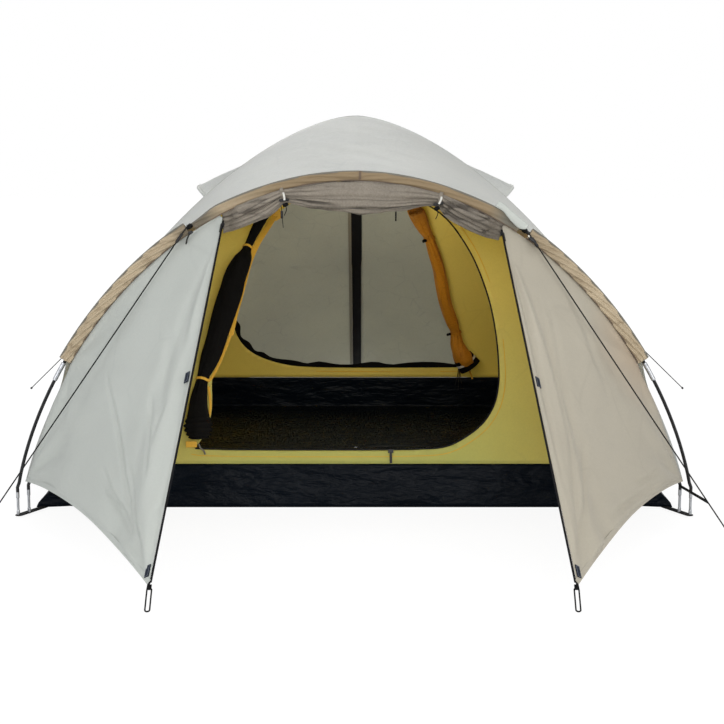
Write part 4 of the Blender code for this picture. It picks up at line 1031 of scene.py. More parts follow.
world_light()
lay_floor()
area_light("top", (0.7, -1.2, 4.2), target=(0, 0, 0.4), size=(4.0, 3.4), power=34)
area_light("left", (-3.2, -5.2, 1.7), (0.2, 0.2, 0.55), (2.0, 2.0), 62, colour=(0.99, 0.995, 1.0))
area_light("right", (3.2, -5.2, 1.7), (-0.2, 0.2, 0.55), (2.0, 2.0), 62, colour=(1.0, 0.98, 0.95))
area_light("doorway", (0.5, -7.0, 1.5), (0, 0, 0.55), (2.6, 1.6), 120, colour=(1.0, 0.985, 0.96))
area_light("behind", (-0.4, 4.6, 3.0), (0, 0.4, 0.6), (3.0, 2.4), 200)
inside_light((0.08, 0.0, 0.66), radius=0.25, power=10, colour=(1.0, 0.93, 0.74))
set_camera()


# guy lines


def knot_at(name, place, way):
    """A small overhand knot round a cord."""
    across = way.cross(Vector((0, 1, 0))).normalized()
    up = across.cross(way)
    path = []
    for k in range(37):
        turn = 2 * pi * 1.5 * k / 36
        spread = across * cos(turn) + up * sin(turn)
        path.append(place + way * 0.008 * (k / 36 - 0.5) + spread * 0.0034)
    tube(name, path, LINE_RADIUS * 0.9, CORD, 8)


def guy_lines():
    for index, name in enumerate(("front_left", "front_right", "rear_left", "rear_right")):
        start, end = line_ends(index)
        way = (end - start).normalized()
        reach = (end - start).length
        path = [start + way * reach * k / 60 for k in range(61)]
        rope = tube(f"guy_rope_{name}", path, LINE_RADIUS, CORD, 12)
        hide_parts(f"guy_line_{name}")
        knot_at(f"guy_knot_{name}", end - way * 0.006, way)


guy_lines()


# sheets of cloth


# flysheet


def dome_grid(side, half_x, half_y, top, end_height, rows, columns, sag=0.0, rise=0.0):
    """One of the four curved walls between the crossed poles. side is (x, y) of the way that it faces."""
    end = dome_u_at(end_height, top)
    last = asin(end ** 0.8)
    grid = []
    for share in shares(rows):
        u = dome_u(mix(0.02, last, share))
        z = dome_height(u, top)
        row = []
        for j in range(columns + 1):
            t = -1 + 2 * j / columns
            drawn = sag * (1 - t * t) * sin(pi * min(1, u / end)) ** 2
            lifted = rise * (1 - t * t) * max(0.0, (u - 0.7) / (end - 0.7))
            if side[0]:
                row.append((side[0] * (u * half_x - drawn), t * u * half_y, z + lifted))
            else:
                row.append((t * u * half_x, side[1] * (u * half_y - drawn), z + lifted))
        grid.append(row)
    return faced(grid, (0, 0, 0.3))


def corner_folds(point, corner, across, up, count, height, reach, seed):
    """Creases that fan out from a corner and die away."""
    away = Vector(point) - corner
    x = away.dot(across)
    y = away.dot(up)
    distance = max(0.02, hypot(x, y))
    wander = 0.7 * hills(point, 2.2, seed)
    crest = sin(count * atan2(y, x) + wander * 3 + seed)
    return height * crest * exp(-distance / reach) * smooth(0.02, 0.16, distance)


def fly_side(name, side):
    half_x, half_y, top = fly_sizes()
    grid = dome_grid((side, 0), half_x, half_y, top, FLY_HEM, rows=90, columns=70, sag=SIDE_SAG,
                     rise=SIDE_RISE)
    low = FLY_HEM + 0.02

    def height(i, j, s, t, point):
        folds = 0.0
        for n, sy in enumerate((-1, 1)):
            corner = Vector((side * half_x, sy * half_y, low))
            inward = Vector((0, -sy, 0))
            folds += corner_folds(point, corner, inward, Vector((0, 0, 1)), count=11, height=0.0035,
                                  reach=0.3, seed=n + side)
        slack = 0.003 * hills(point, 3.2, side) + 0.0009 * hills(point, 14.0, 4.0)
        return fade(t, 0.06) * smooth(0.0, 0.05, s) * (folds + slack)

    piece = grid_piece(name, raised(grid, height), FLY)
    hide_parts(name)


def panel_edge_at(side, height):
    """The vestibule wall's outer edge at a height."""
    low, high = 0.0, 1.0
    for _ in range(24):
        middle = (low + high) / 2
        if panel_edge(side, middle).z > height:
            low = middle
        else:
            high = middle
    return panel_edge(side, low)


def front_roof():
    half_x, half_y, top = fly_sizes()
    front = ARCH_Y - SLEEVE_DEPTH - GAP
    low = dome_u_at(FLY_HEM, top)
    rows = 150
    grid = []
    for turn in shares(rows):
        x = sin(pi / 2 * mix(-1, 1, turn)) * low * half_x
        back = Vector((x, -abs(x) * half_y / half_x, dome_height(abs(x) / half_x, top)))
        over = Vector((x, -front, arch_height(min(abs(x), ARCH_X)) + 0.004))
        below = smooth(SLEEVE_END_HEIGHT + 0.01, SLEEVE_END_HEIGHT - 0.10, back.z)
        if below > 0:
            over = mix(over, panel_edge_at(1 if x > 0 else -1, back.z) + Vector((0, 0.004, 0)), below)
        grid.append([tuple(mix(back, over, share)) for share in shares(34)])
    grid = faced(grid, (0, -0.5, 0.3))
    arch_side = abs(grid[rows // 2, -1, 1]) > abs(grid[rows // 2, 0, 1])

    def height(i, j, s, t, point):
        to_arch = t if arch_side else 1 - t
        slack = 0.004 * hills((point[0], point[1] * 0.6, 0), 3.4, 2.0) - 0.004 * sin(pi * t)
        waves = fade(t, 0.1) * fade(s, 0.03) * (slack + 0.001 * hills(point, 13.0, 7.0))
        gathers = 0.0012 * sin(150 * point[0] + 4 * hills(point, 3.0)) * smooth(0.72, 1.0, to_arch)
        return waves + gathers * smooth(0, 0.08, 1 - to_arch)

    piece = grid_piece("fly_roof_front", raised(grid, height), FLY)
    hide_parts("fly_front")


def rear_fly():
    """The rear wall and vestibule in one cloth, open along the zip below the ridge's turn."""
    half_x, half_y, top = fly_sizes()
    end = dome_u_at(FLY_HEM, top)
    last = asin(end ** 0.8)
    turn, start, peg = rear_ridge()
    rows = 90
    side_columns = 34
    half = REAR_ZIP_HALF - 0.004
    grid = []
    open_rows = []
    for down in shares(rows):
        u = dome_u(mix(0.02, last, down))
        z = dome_height(u, top)
        y = u * half_y
        below = u > turn
        open_rows.append(below)
        middle = mix(start, peg, (u - turn) / (end - turn)) if below else Vector((0, y, z))
        row = []
        for sx in (-1, 1):
            corner = Vector((sx * u * half_x, y, z))
            first = min(1.0, half / (u * half_x))
            for part in shares(side_columns)[::sx]:
                share = mix(first, 1, part)
                point = mix(middle, corner, share)
                bow = REAR_BOW * sin(pi * share) * smooth(turn, 1.0, u)
                row.append((point.x, point.y - bow, point.z - 0.4 * bow))
        grid.append(row)
    grid = faced(grid, (0, 0.2, 0.3))

    def height(i, j, s, t, point):
        edge = fade(t, 0.05) * smooth(0.0, 0.05, s)
        edge *= smooth(half, half + 0.08, abs(point[0])) if open_rows[i] else 1
        folds = corner_folds(point, peg, Vector((1, 0, 0)), RIDGE_UP, count=16, height=0.004, reach=0.4,
                             seed=3.0)
        room = 0.006 * bump_at((Vector(point) - start).length, 0, 0.04)
        return edge * (folds + 0.0035 * hills(point, 3.0, 5.0) + 0.001 * hills(point, 12.0, 1.0)) - room

    def keep(i, j):
        return not (j == side_columns and open_rows[i])

    piece = grid_piece("fly_rear_wall", raised(grid, height), REAR_FLY, keep=keep)
    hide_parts("fly_rear")


def pole_seams():
    """The flat seams of the fly over both crossed poles."""
    half_x, half_y, top = fly_sizes(-0.0005)
    last = asin(dome_u_at(FLY_HEM, top) ** 0.8)
    for sx, hand in HANDS:
        for sy, end in ENDS:
            path = []
            outs = []
            for share in shares(90):
                u = dome_u(mix(0.02, last, share))
                slope = (dome_height(u - 0.003, top) - dome_height(min(0.999, u + 0.003), top)) / 0.006
                path.append(Vector((sx * u * half_x, sy * u * half_y, dome_height(u, top))))
                outs.append(Vector((sx * slope, sy * slope, 2)).normalized())
            ribbon(f"fly_seam_{end}_{hand}", path, outs, 0.012, 0.0007, FLY)


def hem_tapes():
    """Turned hems along the foot of the fly."""
    half_x, half_y, top = fly_sizes(-0.0006)
    end = dome_u_at(FLY_HEM, top)
    peg = rear_ridge()[2]
    for side, hand in HANDS:
        path = []
        for share in shares(60):
            t = mix(-1, 1, share)
            path.append((side * end * half_x, t * end * half_y, FLY_HEM + 0.006 + SIDE_RISE * (1 - t * t)))
        ribbon(f"fly_hem_{hand}", path, Vector((side, 0, 0.15)), HEM_WIDTH, HEM_THICKNESS, FLY)
    for side, hand in HANDS:
        corner = Vector((side * end * half_x, end * half_y, FLY_HEM + 0.006))
        foot = Vector((side * REAR_ZIP_HALF, peg.y, peg.z + 0.006))
        out = (corner - foot).cross(Vector((0, 0, 1))) * -side
        out = (out.normalized() + Vector((0, 0, 0.6))).normalized()
        path = []
        for share in shares(60):
            bow = REAR_BOW * sin(pi * share)
            path.append(mix(foot, corner, share) - Vector((0, bow, 0.4 * bow)) + out * 0.001)
        ribbon(f"rear_hem_{hand}", path, out, HEM_WIDTH, HEM_THICKNESS, FLY)


def vent_hood(name, side):
    half_x, half_y, top = fly_sizes()
    end = dome_u_at(FLY_HEM, top)
    first = dome_u(HOOD_FIRST_ANGLE)
    step = 0.01

    def grid_at(lift_share, rows=26, columns=40, narrow=1.0):
        grid = []
        for b in shares(rows):
            u = mix(first, HOOD_LOW_U, b)
            fall = dome_height(u - step, top) - dome_height(u + step, top)
            normal = Vector((fall, 0, 2 * step * half_x)).normalized()
            row = []
            for share in shares(columns):
                a = mix(-1, 1, share)
                y = a * narrow * HOOD_HALF_WIDTH * (0.55 + 0.45 * b)
                t = y / (u * half_y)
                drawn = SIDE_SAG * (1 - t * t) * sin(pi * min(1, u / end)) ** 2
                rise = (1 - a ** 4) ** 0.8 * (0.75 * b + 0.25 * b * b)
                lift = lift_share * HOOD_LIFT * (1 + 0.04 * sin(3 * pi * a)) * rise + 0.0035
                place = Vector((u * half_x - drawn, y, dome_height(u, top))) + normal * lift
                row.append((side * place.x, place.y, place.z))
            grid.append(row)
        return faced(grid, (0, 0, 0.5))

    def height(i, j, s, t, point):
        return 0.0016 * hills(point, 22.0, 3.0) * smooth(0, 0.15, s) * fade(t, 0.1)

    hood = grid_piece(name + "_cloth", raised(grid_at(1.0), height), HOOD)
    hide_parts(name)
    mesh = grid_piece(name + "_mesh", grid_at(0.02, rows=16, columns=24, narrow=0.8), MESH, 0.0005)
    brim = [Vector(p) + Vector((side * 0.0012, 0, 0.0004)) for p in grid_at(1.0)[-1]]
    ribbon(name + "_brim", brim, Vector((side, 0, 0.35)), 0.012, 0.0016, HOOD)


# front vestibule


def panel_point(side, share, t):
    """A point of a vestibule wall: share runs down the zip, and t from the arch to the zip."""
    top, peg, normal, into = panel_frame(side)
    edge = panel_edge(side, share)
    zip_point = mix(top, peg, share) + into * GAP
    point = mix(edge, zip_point, t)
    fold = 0.006 * sin(pi * t) * sin(3 * pi * t) * max(0.0, share - 0.3)
    arc = 0.05 * 4 * t * (1 - t) * max(0.0, share - 0.6) ** 2 / 0.16
    return point + normal * fold + Vector((0, 0, arc))


def crease_depths(grid, side):
    """How far each point of a vestibule wall is pressed in by its creases."""
    depths = np.zeros(grid.shape[:2])
    for stations, width, depth in CREASES[side]:
        line = smooth_path([panel_point(side, share, t) for share, t in stations], 5)
        nearest = np.full(grid.shape[:2], 9.0)
        place = np.zeros(grid.shape[:2])
        for k, (a, b) in enumerate(zip(line, line[1:])):
            a = np.array(a)
            way = np.array(b) - a
            share = np.clip(((grid - a) @ way) / (way @ way), 0, 1)
            away = np.linalg.norm(grid - a - share[..., None] * way, axis=2)
            place = np.where(away < nearest, (k + share) / (len(line) - 1), place)
            nearest = np.minimum(nearest, away)
        strength = depth * np.sin(np.pi * np.clip(place, 0.02, 0.98)) ** 0.6
        pressed = np.exp(-((nearest / width) ** 2)) - 0.35 * np.exp(-((nearest / (2.6 * width)) ** 2))
        depths += strength * pressed
    return depths


def vestibule_wall(name, side, material):
    top, peg, normal, into = panel_frame(side)
    along = (peg - top).normalized()
    grid = []
    for down in shares(180):
        share = mix(0.012, 1, down)
        grid.append([tuple(panel_point(side, share, t)) for t in shares(124)])
    grid = np.array(grid)
    flipped = (make_normals(grid) * (grid - np.array((0, 0, 0.2)))).sum() < 0
    if flipped:
        grid = grid[:, ::-1]
    creases = crease_depths(grid, side)
    foot = Vector((side * PANEL_FOOT_X, -ARCH_Y, PANEL_FOOT_HEIGHT))
    start = Vector((side * 0.9, -ARCH_Y, 0.5))
    count, depth, ridge_at, groove_at = (11, 0.013, 0.88, 0.76) if side < 0 else (8, 0.010, 0.84, 0.74)

    def height(i, j, s, t, point):
        across = 1 - t if flipped else t
        edge = smooth(0.0, 0.05, across) * smooth(0.0, 0.035, 1 - across)
        edge *= smooth(0.0, 0.03, s) * smooth(0, 0.02, 1 - s)
        fan = corner_folds(point, peg, into, -along, count, depth, reach=0.7, seed=1.0 + side)
        low = corner_folds(point, foot, -into, -along, count=10, height=0.009, reach=0.3, seed=5.0)
        high = corner_folds(point, start, -into, along, count=8, height=0.005, reach=0.3, seed=8.0)
        ridge = 0.008 * bump_at(across, ridge_at, 0.045) * smooth(0.05, 0.3, s)
        groove = -0.007 * bump_at(across, groove_at, 0.05) * smooth(0.1, 0.45, s)
        far = Vector(point) - peg
        line = sin(30 * far.dot(into) + 5 * hills(point, 1.6, side)) * (0.4 + 0.6 * hills(point, 2.4, 9.0))
        drawn = hills((point[0] * 2.2, point[1] * 0.8, point[2] * 0.7), 2.2, side * 3.0)
        waves = 0.0035 * line + 0.008 * drawn + 0.0014 * hills(point, 12.0, side)
        return edge * (fan + low + high + ridge + groove + waves - creases[i, j])

    piece = grid_piece(f"{name}_wall", raised(grid, height), material)
    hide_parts(name)
    for n, share in enumerate(TAB_SHARES):
        centre = mix(top, peg, share) + into * (TAB_WIDTH / 2 + 0.004) + normal * 0.0045
        axes = (into, along, into.cross(along))
        block(f"{name}_tab_{n}", centre, axes, (TAB_WIDTH, TAB_LENGTH, 0.0034), 0.0010, NAVY)
        border(f"{name}_tab_border_{n}", centre + normal * 0.0018, into, along)
    tip = [peg + along * reach + normal * 0.001 for reach in (-0.006, 0.004, 0.013)]
    ribbon(f"{name}_peg_tab", tip, normal, 0.012, 0.0016, BLACK_EDGE)
    hem = [panel_point(side, 0.995, t) + normal * 0.0012 for t in shares(80)]
    ribbon(f"{name}_hem", hem, normal, HEM_WIDTH, 0.0013, material)


def border(name, centre, across, along):
    """A line of pale stitching round a tab."""
    corners = []
    for k in range(48):
        a, b = drawn_out(2 * pi * k / 48, 0.35)
        corners.append(centre + across * (TAB_WIDTH / 2 - 0.002) * a + along * (TAB_LENGTH / 2 - 0.002) * b)
    out = across.cross(along).normalized()
    profile = ((1, 0), (0.5, 1), (-0.5, 1), (-1, 0), (0, -1))
    rings = []
    for k, point in enumerate(corners):
        way = (corners[(k + 1) % 48] - corners[k - 1]).normalized()
        side = way.cross(out)
        rings.append([point + side * 0.0008 * a + out * 0.0005 * b for a, b in profile])
    lofted(name, rings, TAB_EDGE, closed=True, sharp=60)


def narrow(x):
    """The share of its full width that the sleeve keeps, as it is drawn flat over the doorway."""
    return 1 - 0.36 * smooth(0.62, 0.30, abs(x))


def narrow_below(x):
    """The same for the half that hangs below the pole."""
    return 1 - 0.10 * smooth(0.42, 0.30, abs(x))


def pulled(x):
    """How far the middle sleeve's upper edge is pulled in by its open ends, as a share of its half width."""
    left = 0.8 * smooth(LEFT_GAP[1] + 0.09, LEFT_GAP[1], x) * (x >= LEFT_GAP[1])
    right = 0.5 * smooth(RIGHT_GAP[0] - 0.07, RIGHT_GAP[0], x) * (x <= RIGHT_GAP[0])
    return left + right


def sleeve(name, low, high, count, seed):
    """A flat tunnel of cloth round the arch pole, open at its ends and puckered by its seams."""
    rings = []
    around = 56
    for share in shares(count):
        angle = mix(low, high, share)
        centre, outward = arch_point(angle)
        along = angle * ARCH_X
        drift = 3.0 * hills((along * 3, 0, seed), 1.0)
        run = SLEEVE_FOLDS * along * (1 if centre.x > 0 else -1)
        lower = smooth(0.46, 0.62, abs(centre.x))
        strength = 0.6 + 0.7 * lower + 0.6 * abs(hills((along * 5, 1, seed), 1.0))
        above = narrow(centre.x) * (1 - pulled(centre.x))
        below = narrow_below(centre.x)
        ring = []
        for n in range(around):
            a, b = drawn_out(2 * pi * n / around, 2 / 2.4)
            steep = sin(run - 8.0 * b + drift)
            flat = sin(0.45 * run - 6.0 * b + 2.5 * drift)
            pucker = 0.0026 * (0.7 + mix(flat, steep, lower)) * strength
            loose = 0.0016 * hills((along * 9, b * 0.6, seed), 1.0)
            deep = SLEEVE_DEPTH + pucker + loose
            wide = SLEEVE_RADIAL * (above if b > 0 else below) + 0.1 * pucker + 0.4 * loose
            ring.append(centre + Vector((0, deep * a, 0)) + outward * wide * b)
        rings.append(ring)
    piece = lofted(f"{name}_cloth", rings, SLEEVE, capped=False)
    thicken(piece, 0.001)
    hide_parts(name)


def sleeve_seam():
    """The seam across the sleeve where two lengths of it are joined."""
    centre, outward = arch_point(arch_angle_at_x(SLEEVE_JOINT_X))
    wide = SLEEVE_RADIAL * narrow(SLEEVE_JOINT_X) + 0.001
    path = []
    for b in (-1, -0.6, -0.2, 0.2, 0.6, 1):
        path.append(centre + outward * wide * b + FORWARD * SLEEVE_DEPTH * (1.32 - 0.35 * b * b))
    ribbon("arch_sleeve_joint", smooth_path(path, 4), FORWARD, 0.008, 0.0016, BROWN_SEAM)


def sleeves():
    sleeve_seam()
    end = arch_angle_at_height(SLEEVE_END_HEIGHT)
    spans = (
        ("arch_sleeve_left", -end, arch_angle_at_x(LEFT_GAP[0]), 100),
        ("arch_sleeve_middle", arch_angle_at_x(LEFT_GAP[1]), arch_angle_at_x(RIGHT_GAP[0]), 240),
        ("arch_sleeve_right", arch_angle_at_x(RIGHT_GAP[1]), end, 100),
    )
    for n, (name, low, high, count) in enumerate(spans):
        sleeve(name, low, high, count, seed=n * 3.1)
        above = []
        below = []
        outs = []
        for share in shares(80):
            centre, outward = arch_point(mix(low, high, share))
            upper = SLEEVE_RADIAL * narrow(centre.x) * (1 - pulled(centre.x)) - 0.001
            lower = SLEEVE_RADIAL * narrow_below(centre.x) - 0.002
            above.append(centre + outward * upper + FORWARD * SLEEVE_DEPTH * 0.55)
            below.append(centre - outward * lower + FORWARD * SLEEVE_DEPTH * 0.62)
            outs.append(FORWARD + outward * 0.6)
        ribbon(f"{name}_piping", above, outs, 0.006, 0.0026, PIPING)
        ribbon(f"{name}_seam", below, FORWARD, 0.0035, 0.0018, BROWN_SEAM)


# rolled doors


def loose_cord(name, points, radius, material, between=6):
    """A short cord that hangs from the first of its points."""
    path = smooth_path(points, between)
    tube(name, path, radius, material)


def wound(name, places, sizes, material, turns, count_round, first_turn, wrinkle, seed, gathers):
    """A cloth rolled up along a line. places are (centre, side, up), and sizes its half width and depth.

    Each of gathers is (place, reach, count, depth), for where the roll is drawn in.
    """
    rows = len(places)
    columns = turns * count_round
    grid = []
    for i, ((centre, side, up), (half_side, half_up)) in enumerate(zip(places, sizes)):
        s = i / (rows - 1)
        slow = 5 * hills((s * 4, 0.3, seed), 1.0)
        quick = 9 * hills((s * 5, 2, seed), 1.0)
        drift = 2 * hills((s * 3, seed, 1), 1.0)
        row = []
        for j in range(columns + 1):
            turn = 2 * pi * j / count_round + first_turn
            wind = 1 - (1 - ROLL_CORE) * j / columns
            flare = 1 + 0.05 * (1 - smooth(0, count_round * 0.15, j))
            c = cos(turn)
            d = sin(turn)
            folds = sin(3 * turn + slow) * 0.5 + sin(7 * turn + quick) * 0.35
            dents = hills((s * 11, c * 1.3, d * 1.3 + seed), 1.0)
            grow = wind * flare * (1 + wrinkle * (0.45 * folds + 0.9 * dents))
            for place, reach, count, depth in gathers:
                tuck = (1 - abs(sin(count * turn / 2 + drift))) ** 2.5
                grow *= 1 - depth * bump_at(s, place, reach) * tuck
            row.append(tuple(centre + side * half_side * grow * c + up * half_up * grow * d))
        grid.append(row)
    grid = np.array(grid)
    first = np.array((places[1][0] - places[0][0]).normalized())
    last = np.array((places[-1][0] - places[-2][0]).normalized())
    for j in range(columns + 1):
        layer = j / count_round
        shift = 0.9 * sin(1.9 * layer + seed) + 0.5 * hills((layer * 2, seed, 0), 1.0) - 1
        grid[0, j] -= first * shift * 0.6 * ROLL_STEP
        grid[-1, j] += last * shift * 0.6 * ROLL_STEP
    outer = grid[:, :count_round] - grid.mean(axis=1)[:, None]
    if (make_normals(grid)[:, :count_round] * outer).sum() <= 0:
        grid = grid[:, ::-1]
    return grid_piece(name, grid, material, ROLL_CLOTH)


def tie_band(name, place, size, width, material, thickness=0.0016):
    """A tape tied round a roll."""
    centre, side, up = place
    along = side.cross(up).normalized()
    profile = ((1, 0), (0.9, 1), (-0.9, 1), (-1, 0))
    rings = []
    for n in range(48):
        turn = 2 * pi * n / 48
        out = (side * cos(turn) + up * sin(turn)).normalized()
        point = centre + side * size[0] * cos(turn) + up * size[1] * sin(turn)
        point += along * 0.001 * sin(3 * turn)
        rings.append([point + along * width / 2 * a + out * thickness * b for a, b in profile])
    lofted(name, rings, material, closed=True, sharp=60)


def door_tie(n, place, size):
    """A tie of the rolled front door, with its toggle, loop, knot and tail."""
    centre, _, up = place
    depth, half = size
    tie_band(f"door_tie_{n}", place, (depth + 0.0025, half + 0.0025), TIE_WIDTH, TAUPE)
    front = centre + FORWARD * (depth + 0.0085)
    hang = front - up * half * 0.55
    block(f"door_toggle_{n}", hang, tilted(0.1), (0.032, 0.009, 0.0085), 0.0035, PLASTIC)
    top = front + up * half * 0.45 + Vector((0.003, 0.004, 0))
    loop = [top, mix(top, hang, 0.5) + Vector((0.002, -0.003, 0)), hang + Vector((0.001, -0.005, 0))]
    ribbon(f"door_toggle_loop_{n}", smooth_path(loop, 6), FORWARD, 0.006, 0.0012, LACE)
    knot = front - up * (half + 0.004)
    block(f"door_knot_{n}", knot, tilted(0.4), (0.018, 0.010, 0.012), 0.004, BLACK_EDGE)
    tail = [knot, knot + Vector((0.003, -0.003, -0.016)), knot + Vector((-0.004, -0.002, -0.033))]
    loose_cord(f"door_tie_tail_{n}", tail, 0.0014, CORD)


def arch_roll():
    places = []
    sizes = []
    count = 170
    start = ROLL_ENDS[0] - ROLL_PAST
    finish = ROLL_ENDS[1] + ROLL_PAST
    for share in shares(count):
        x = mix(start, finish, share)
        half = float(np.interp(x, *zip(*ROLL_SHAPE))) / 2
        pinch = sum(bump_at(x, tie, 0.05) for tie in ROLL_TIES)
        end = smooth(-0.375, -0.415, x) + smooth(0.425, 0.470, x)
        depth = ROLL_DEPTH * (0.55 + 0.4 * half / ROLL_HALF) * (1 - 0.25 * pinch) * (1 - 0.62 * end)
        centre, outward = arch_point(arch_angle_at_x(x), SLEEVE_RADIAL * narrow_below(x) + half - 0.008)
        along = Vector((outward.z, 0, -outward.x))
        lean = 0.55 * smooth(-0.30, -0.42, x) - 0.25 * smooth(0.38, 0.48, x)
        places.append((centre + Vector((0, ROLL_BACK * end, 0)), FORWARD, outward + along * lean))
        sizes.append((depth, half * 0.97))
    roll = wound("front_door_rolled", places, sizes, TAUPE, turns=4, count_round=88, first_turn=-0.12,
                 wrinkle=0.22, seed=2.0, gathers=ROLL_GATHERS)
    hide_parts("vestibule_door_roll")
    stations = [round((tie - start) / (finish - start) * count) for tie in ROLL_TIES]
    for n, k in enumerate(stations):
        door_tie(n, places[k], sizes[k])
    drop = places[stations[0]][0] + Vector((-0.006, -0.03, -0.030))
    cord = []
    for x, down in ((0, 0), (0.002, 0.02), (0.004, 0.045), (0.006, 0.068)):
        cord.append(drop + Vector((x, 0, -down)))
    loose_cord("door_cord", cord, 0.0012, CORD)
    stop = cord[1] + Vector((0, 0, -0.008))
    block("door_cord_stop", stop, tilted(0), (0.008, 0.007, 0.024), 0.0028, PLASTIC)
    below = SLEEVE_RADIAL * narrow(HANGING_TAB_X) + 0.086
    tab = arch_point(arch_angle_at_x(HANGING_TAB_X), below)[0] + Vector((0, -0.012, -0.018))
    block("door_hanging_tab", tab, tilted(0), (0.0048, 0.002, 0.03), 0.0008, BLACK_EDGE)


def gap_fittings():
    """The toggles and tape ends by the sleeve's gaps, and the strip of fly over the right one."""
    front = -ARCH_Y - 0.020

    def ahead(*points):
        return [(x, front - by, z) for x, by, z in points]

    for name, place, slope, sizes in (
        ("left_zip_toggle", (-0.424, 0.004, 0.910), 0, (0.010, 0.008, 0.012)),
        ("left_gap_clip", (-0.509, 0.006, 0.913), 0.7, (0.016, 0.008, 0.010)),
        ("right_gap_clip", (0.556, 0.004, 0.890), -0.8, (0.026, 0.009, 0.011)),
    ):
        block(name, ahead(place)[0], tilted(slope), sizes, 0.003, PLASTIC)
    tail = ahead((-0.428, 0, 0.906), (-0.439, 0.002, 0.898), (-0.450, 0.002, 0.890), (-0.456, 0, 0.877))
    loose_cord("left_zip_tail", tail, 0.0018, GREY_CORD)
    tail = ahead((-0.514, 0.004, 0.906), (-0.520, 0.004, 0.893), (-0.524, 0.002, 0.877))
    loose_cord("left_gap_tail", tail, 0.0024, CORD)
    loop = ahead((0.543, 0.004, 0.905), (0.549, 0.006, 0.896), (0.552, 0.004, 0.888))
    ribbon("right_gap_loop", smooth_path(loop, 4), FORWARD, 0.004, 0.001, LACE)
    rows = []
    for upper, lower in zip(*[smooth_path([(x, front, z) for x, z in edge], 6) for edge in GAP_STRIP]):
        rows.append([mix(upper, lower, share) + FORWARD * 0.002 * sin(pi * share) for share in shares(6)])
    grid_piece("fly_gap_strip", faced(rows, (0, 0.5, 0.9)), LEFT_PANEL, 0.001)


def roll_places(stations, side):
    """Where a rolled inner door lies on its wall, from its (x, z, half width) stations."""
    inside = side > 0
    line = []
    outs = []
    halves = []
    for x, r, z in smooth_path([(x, r, z) for x, z, r in stations], ROLL_BETWEEN):
        depth = 0.75 * r
        off = -(INNER_THICKNESS + 0.0018 + depth) if inside else 0.0006 + depth
        centre, out = wall_point(x, z, side, off)
        line.append(centre)
        outs.append(out)
        halves.append(r)
    places = []
    for k, (centre, out) in enumerate(zip(line, outs)):
        along = way_at(line, k)
        across = along.cross(out).normalized()
        places.append((centre, across, across.cross(along).normalized()))
    return places, [(r * 0.96, r * 0.72) for r in halves]


def inner_roll(name, stations, side, material, tie_material, ties, seed, foot_rings):
    places, sizes = roll_places(stations, side)
    for k, (wide, deep) in enumerate(sizes):
        s = k / len(sizes)
        ring = 1 + foot_rings * sin(2 * pi * 34 * s) * smooth(0.17, 0.10, s)
        sizes[k] = (wide * ring, deep * ring)
    gathers = [(k * ROLL_BETWEEN / len(sizes), 0.07, 9, 0.5) for k in ties] + [(0.6, 0.5, 6, 0.14)]
    roll = wound(name + "_cloth", places, sizes, material, turns=5, count_round=36, first_turn=0.4,
                 wrinkle=0.13, seed=seed, gathers=gathers)
    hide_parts(name)
    for n, k in enumerate(ties):
        wide, deep = sizes[k * ROLL_BETWEEN]
        band = (wide + 0.002, deep + 0.002)
        tie_band(f"{name}_tie_{n}", places[k * ROLL_BETWEEN], band, 0.009, tie_material, 0.0012)


def on_wall(points, side, off):
    return [wall_point(x, z, side, off)[0] for x, z in points]


def rear_roll_foot():
    """The striped cuff at the rear roll's foot, with its cord and the black ends of its ties."""
    depth = 0.030
    across = Vector((0.83, 0, 0.56))
    for part, grow, low, high, material in (
        ("band", 0.0030, 0.20, 0.42, BLACK_EDGE),
        ("stripe", 0.0034, 0.46, 0.58, LACE),
        ("rim", 0.0030, 0.62, 0.95, BLACK_EDGE),
    ):
        rings = []
        for share in (low, mix(low, high, 0.5), high):
            x = mix(0.470, 0.518, share)
            z = mix(0.268, 0.205, share)
            centre, out = wall_point(x, z, 1, -(INNER_THICKNESS + 0.002 + depth))
            wide = 0.040 + 0.008 * share + grow
            rings.append(ellipse(centre, across * wide, out * (depth - 0.002 + grow), 32))
        lofted(f"rear_roll_{part}", rings, material, sharp=60)
    cord = on_wall(((0.505, 0.215), (0.512, 0.190), (0.520, 0.168), (0.526, 0.150)), 1, -0.036)
    loose_cord("rear_roll_cord", cord, 0.0034, ORANGE_EDGE)
    for n, tail in enumerate((
        ((0.462, 0.208), (0.458, 0.165), (0.448, 0.120)),
        ((0.470, 0.205), (0.470, 0.160), (0.478, 0.128)),
        ((0.466, 0.206), (0.464, 0.170), (0.462, 0.100)),
    )):
        loose_cord(f"rear_roll_tail_{n}", on_wall(tail, 1, -0.038 - 0.004 * n), 0.002, CORD, 8)
    for n, (x, z) in enumerate(((0.290, 0.812), (0.412, 0.370))):
        place, out = wall_point(x, z, 1, -0.040)
        block(f"rear_roll_knot_{n}", place, tilted(0.3, out), (0.020, 0.010, 0.010), 0.004, BLACK_EDGE)


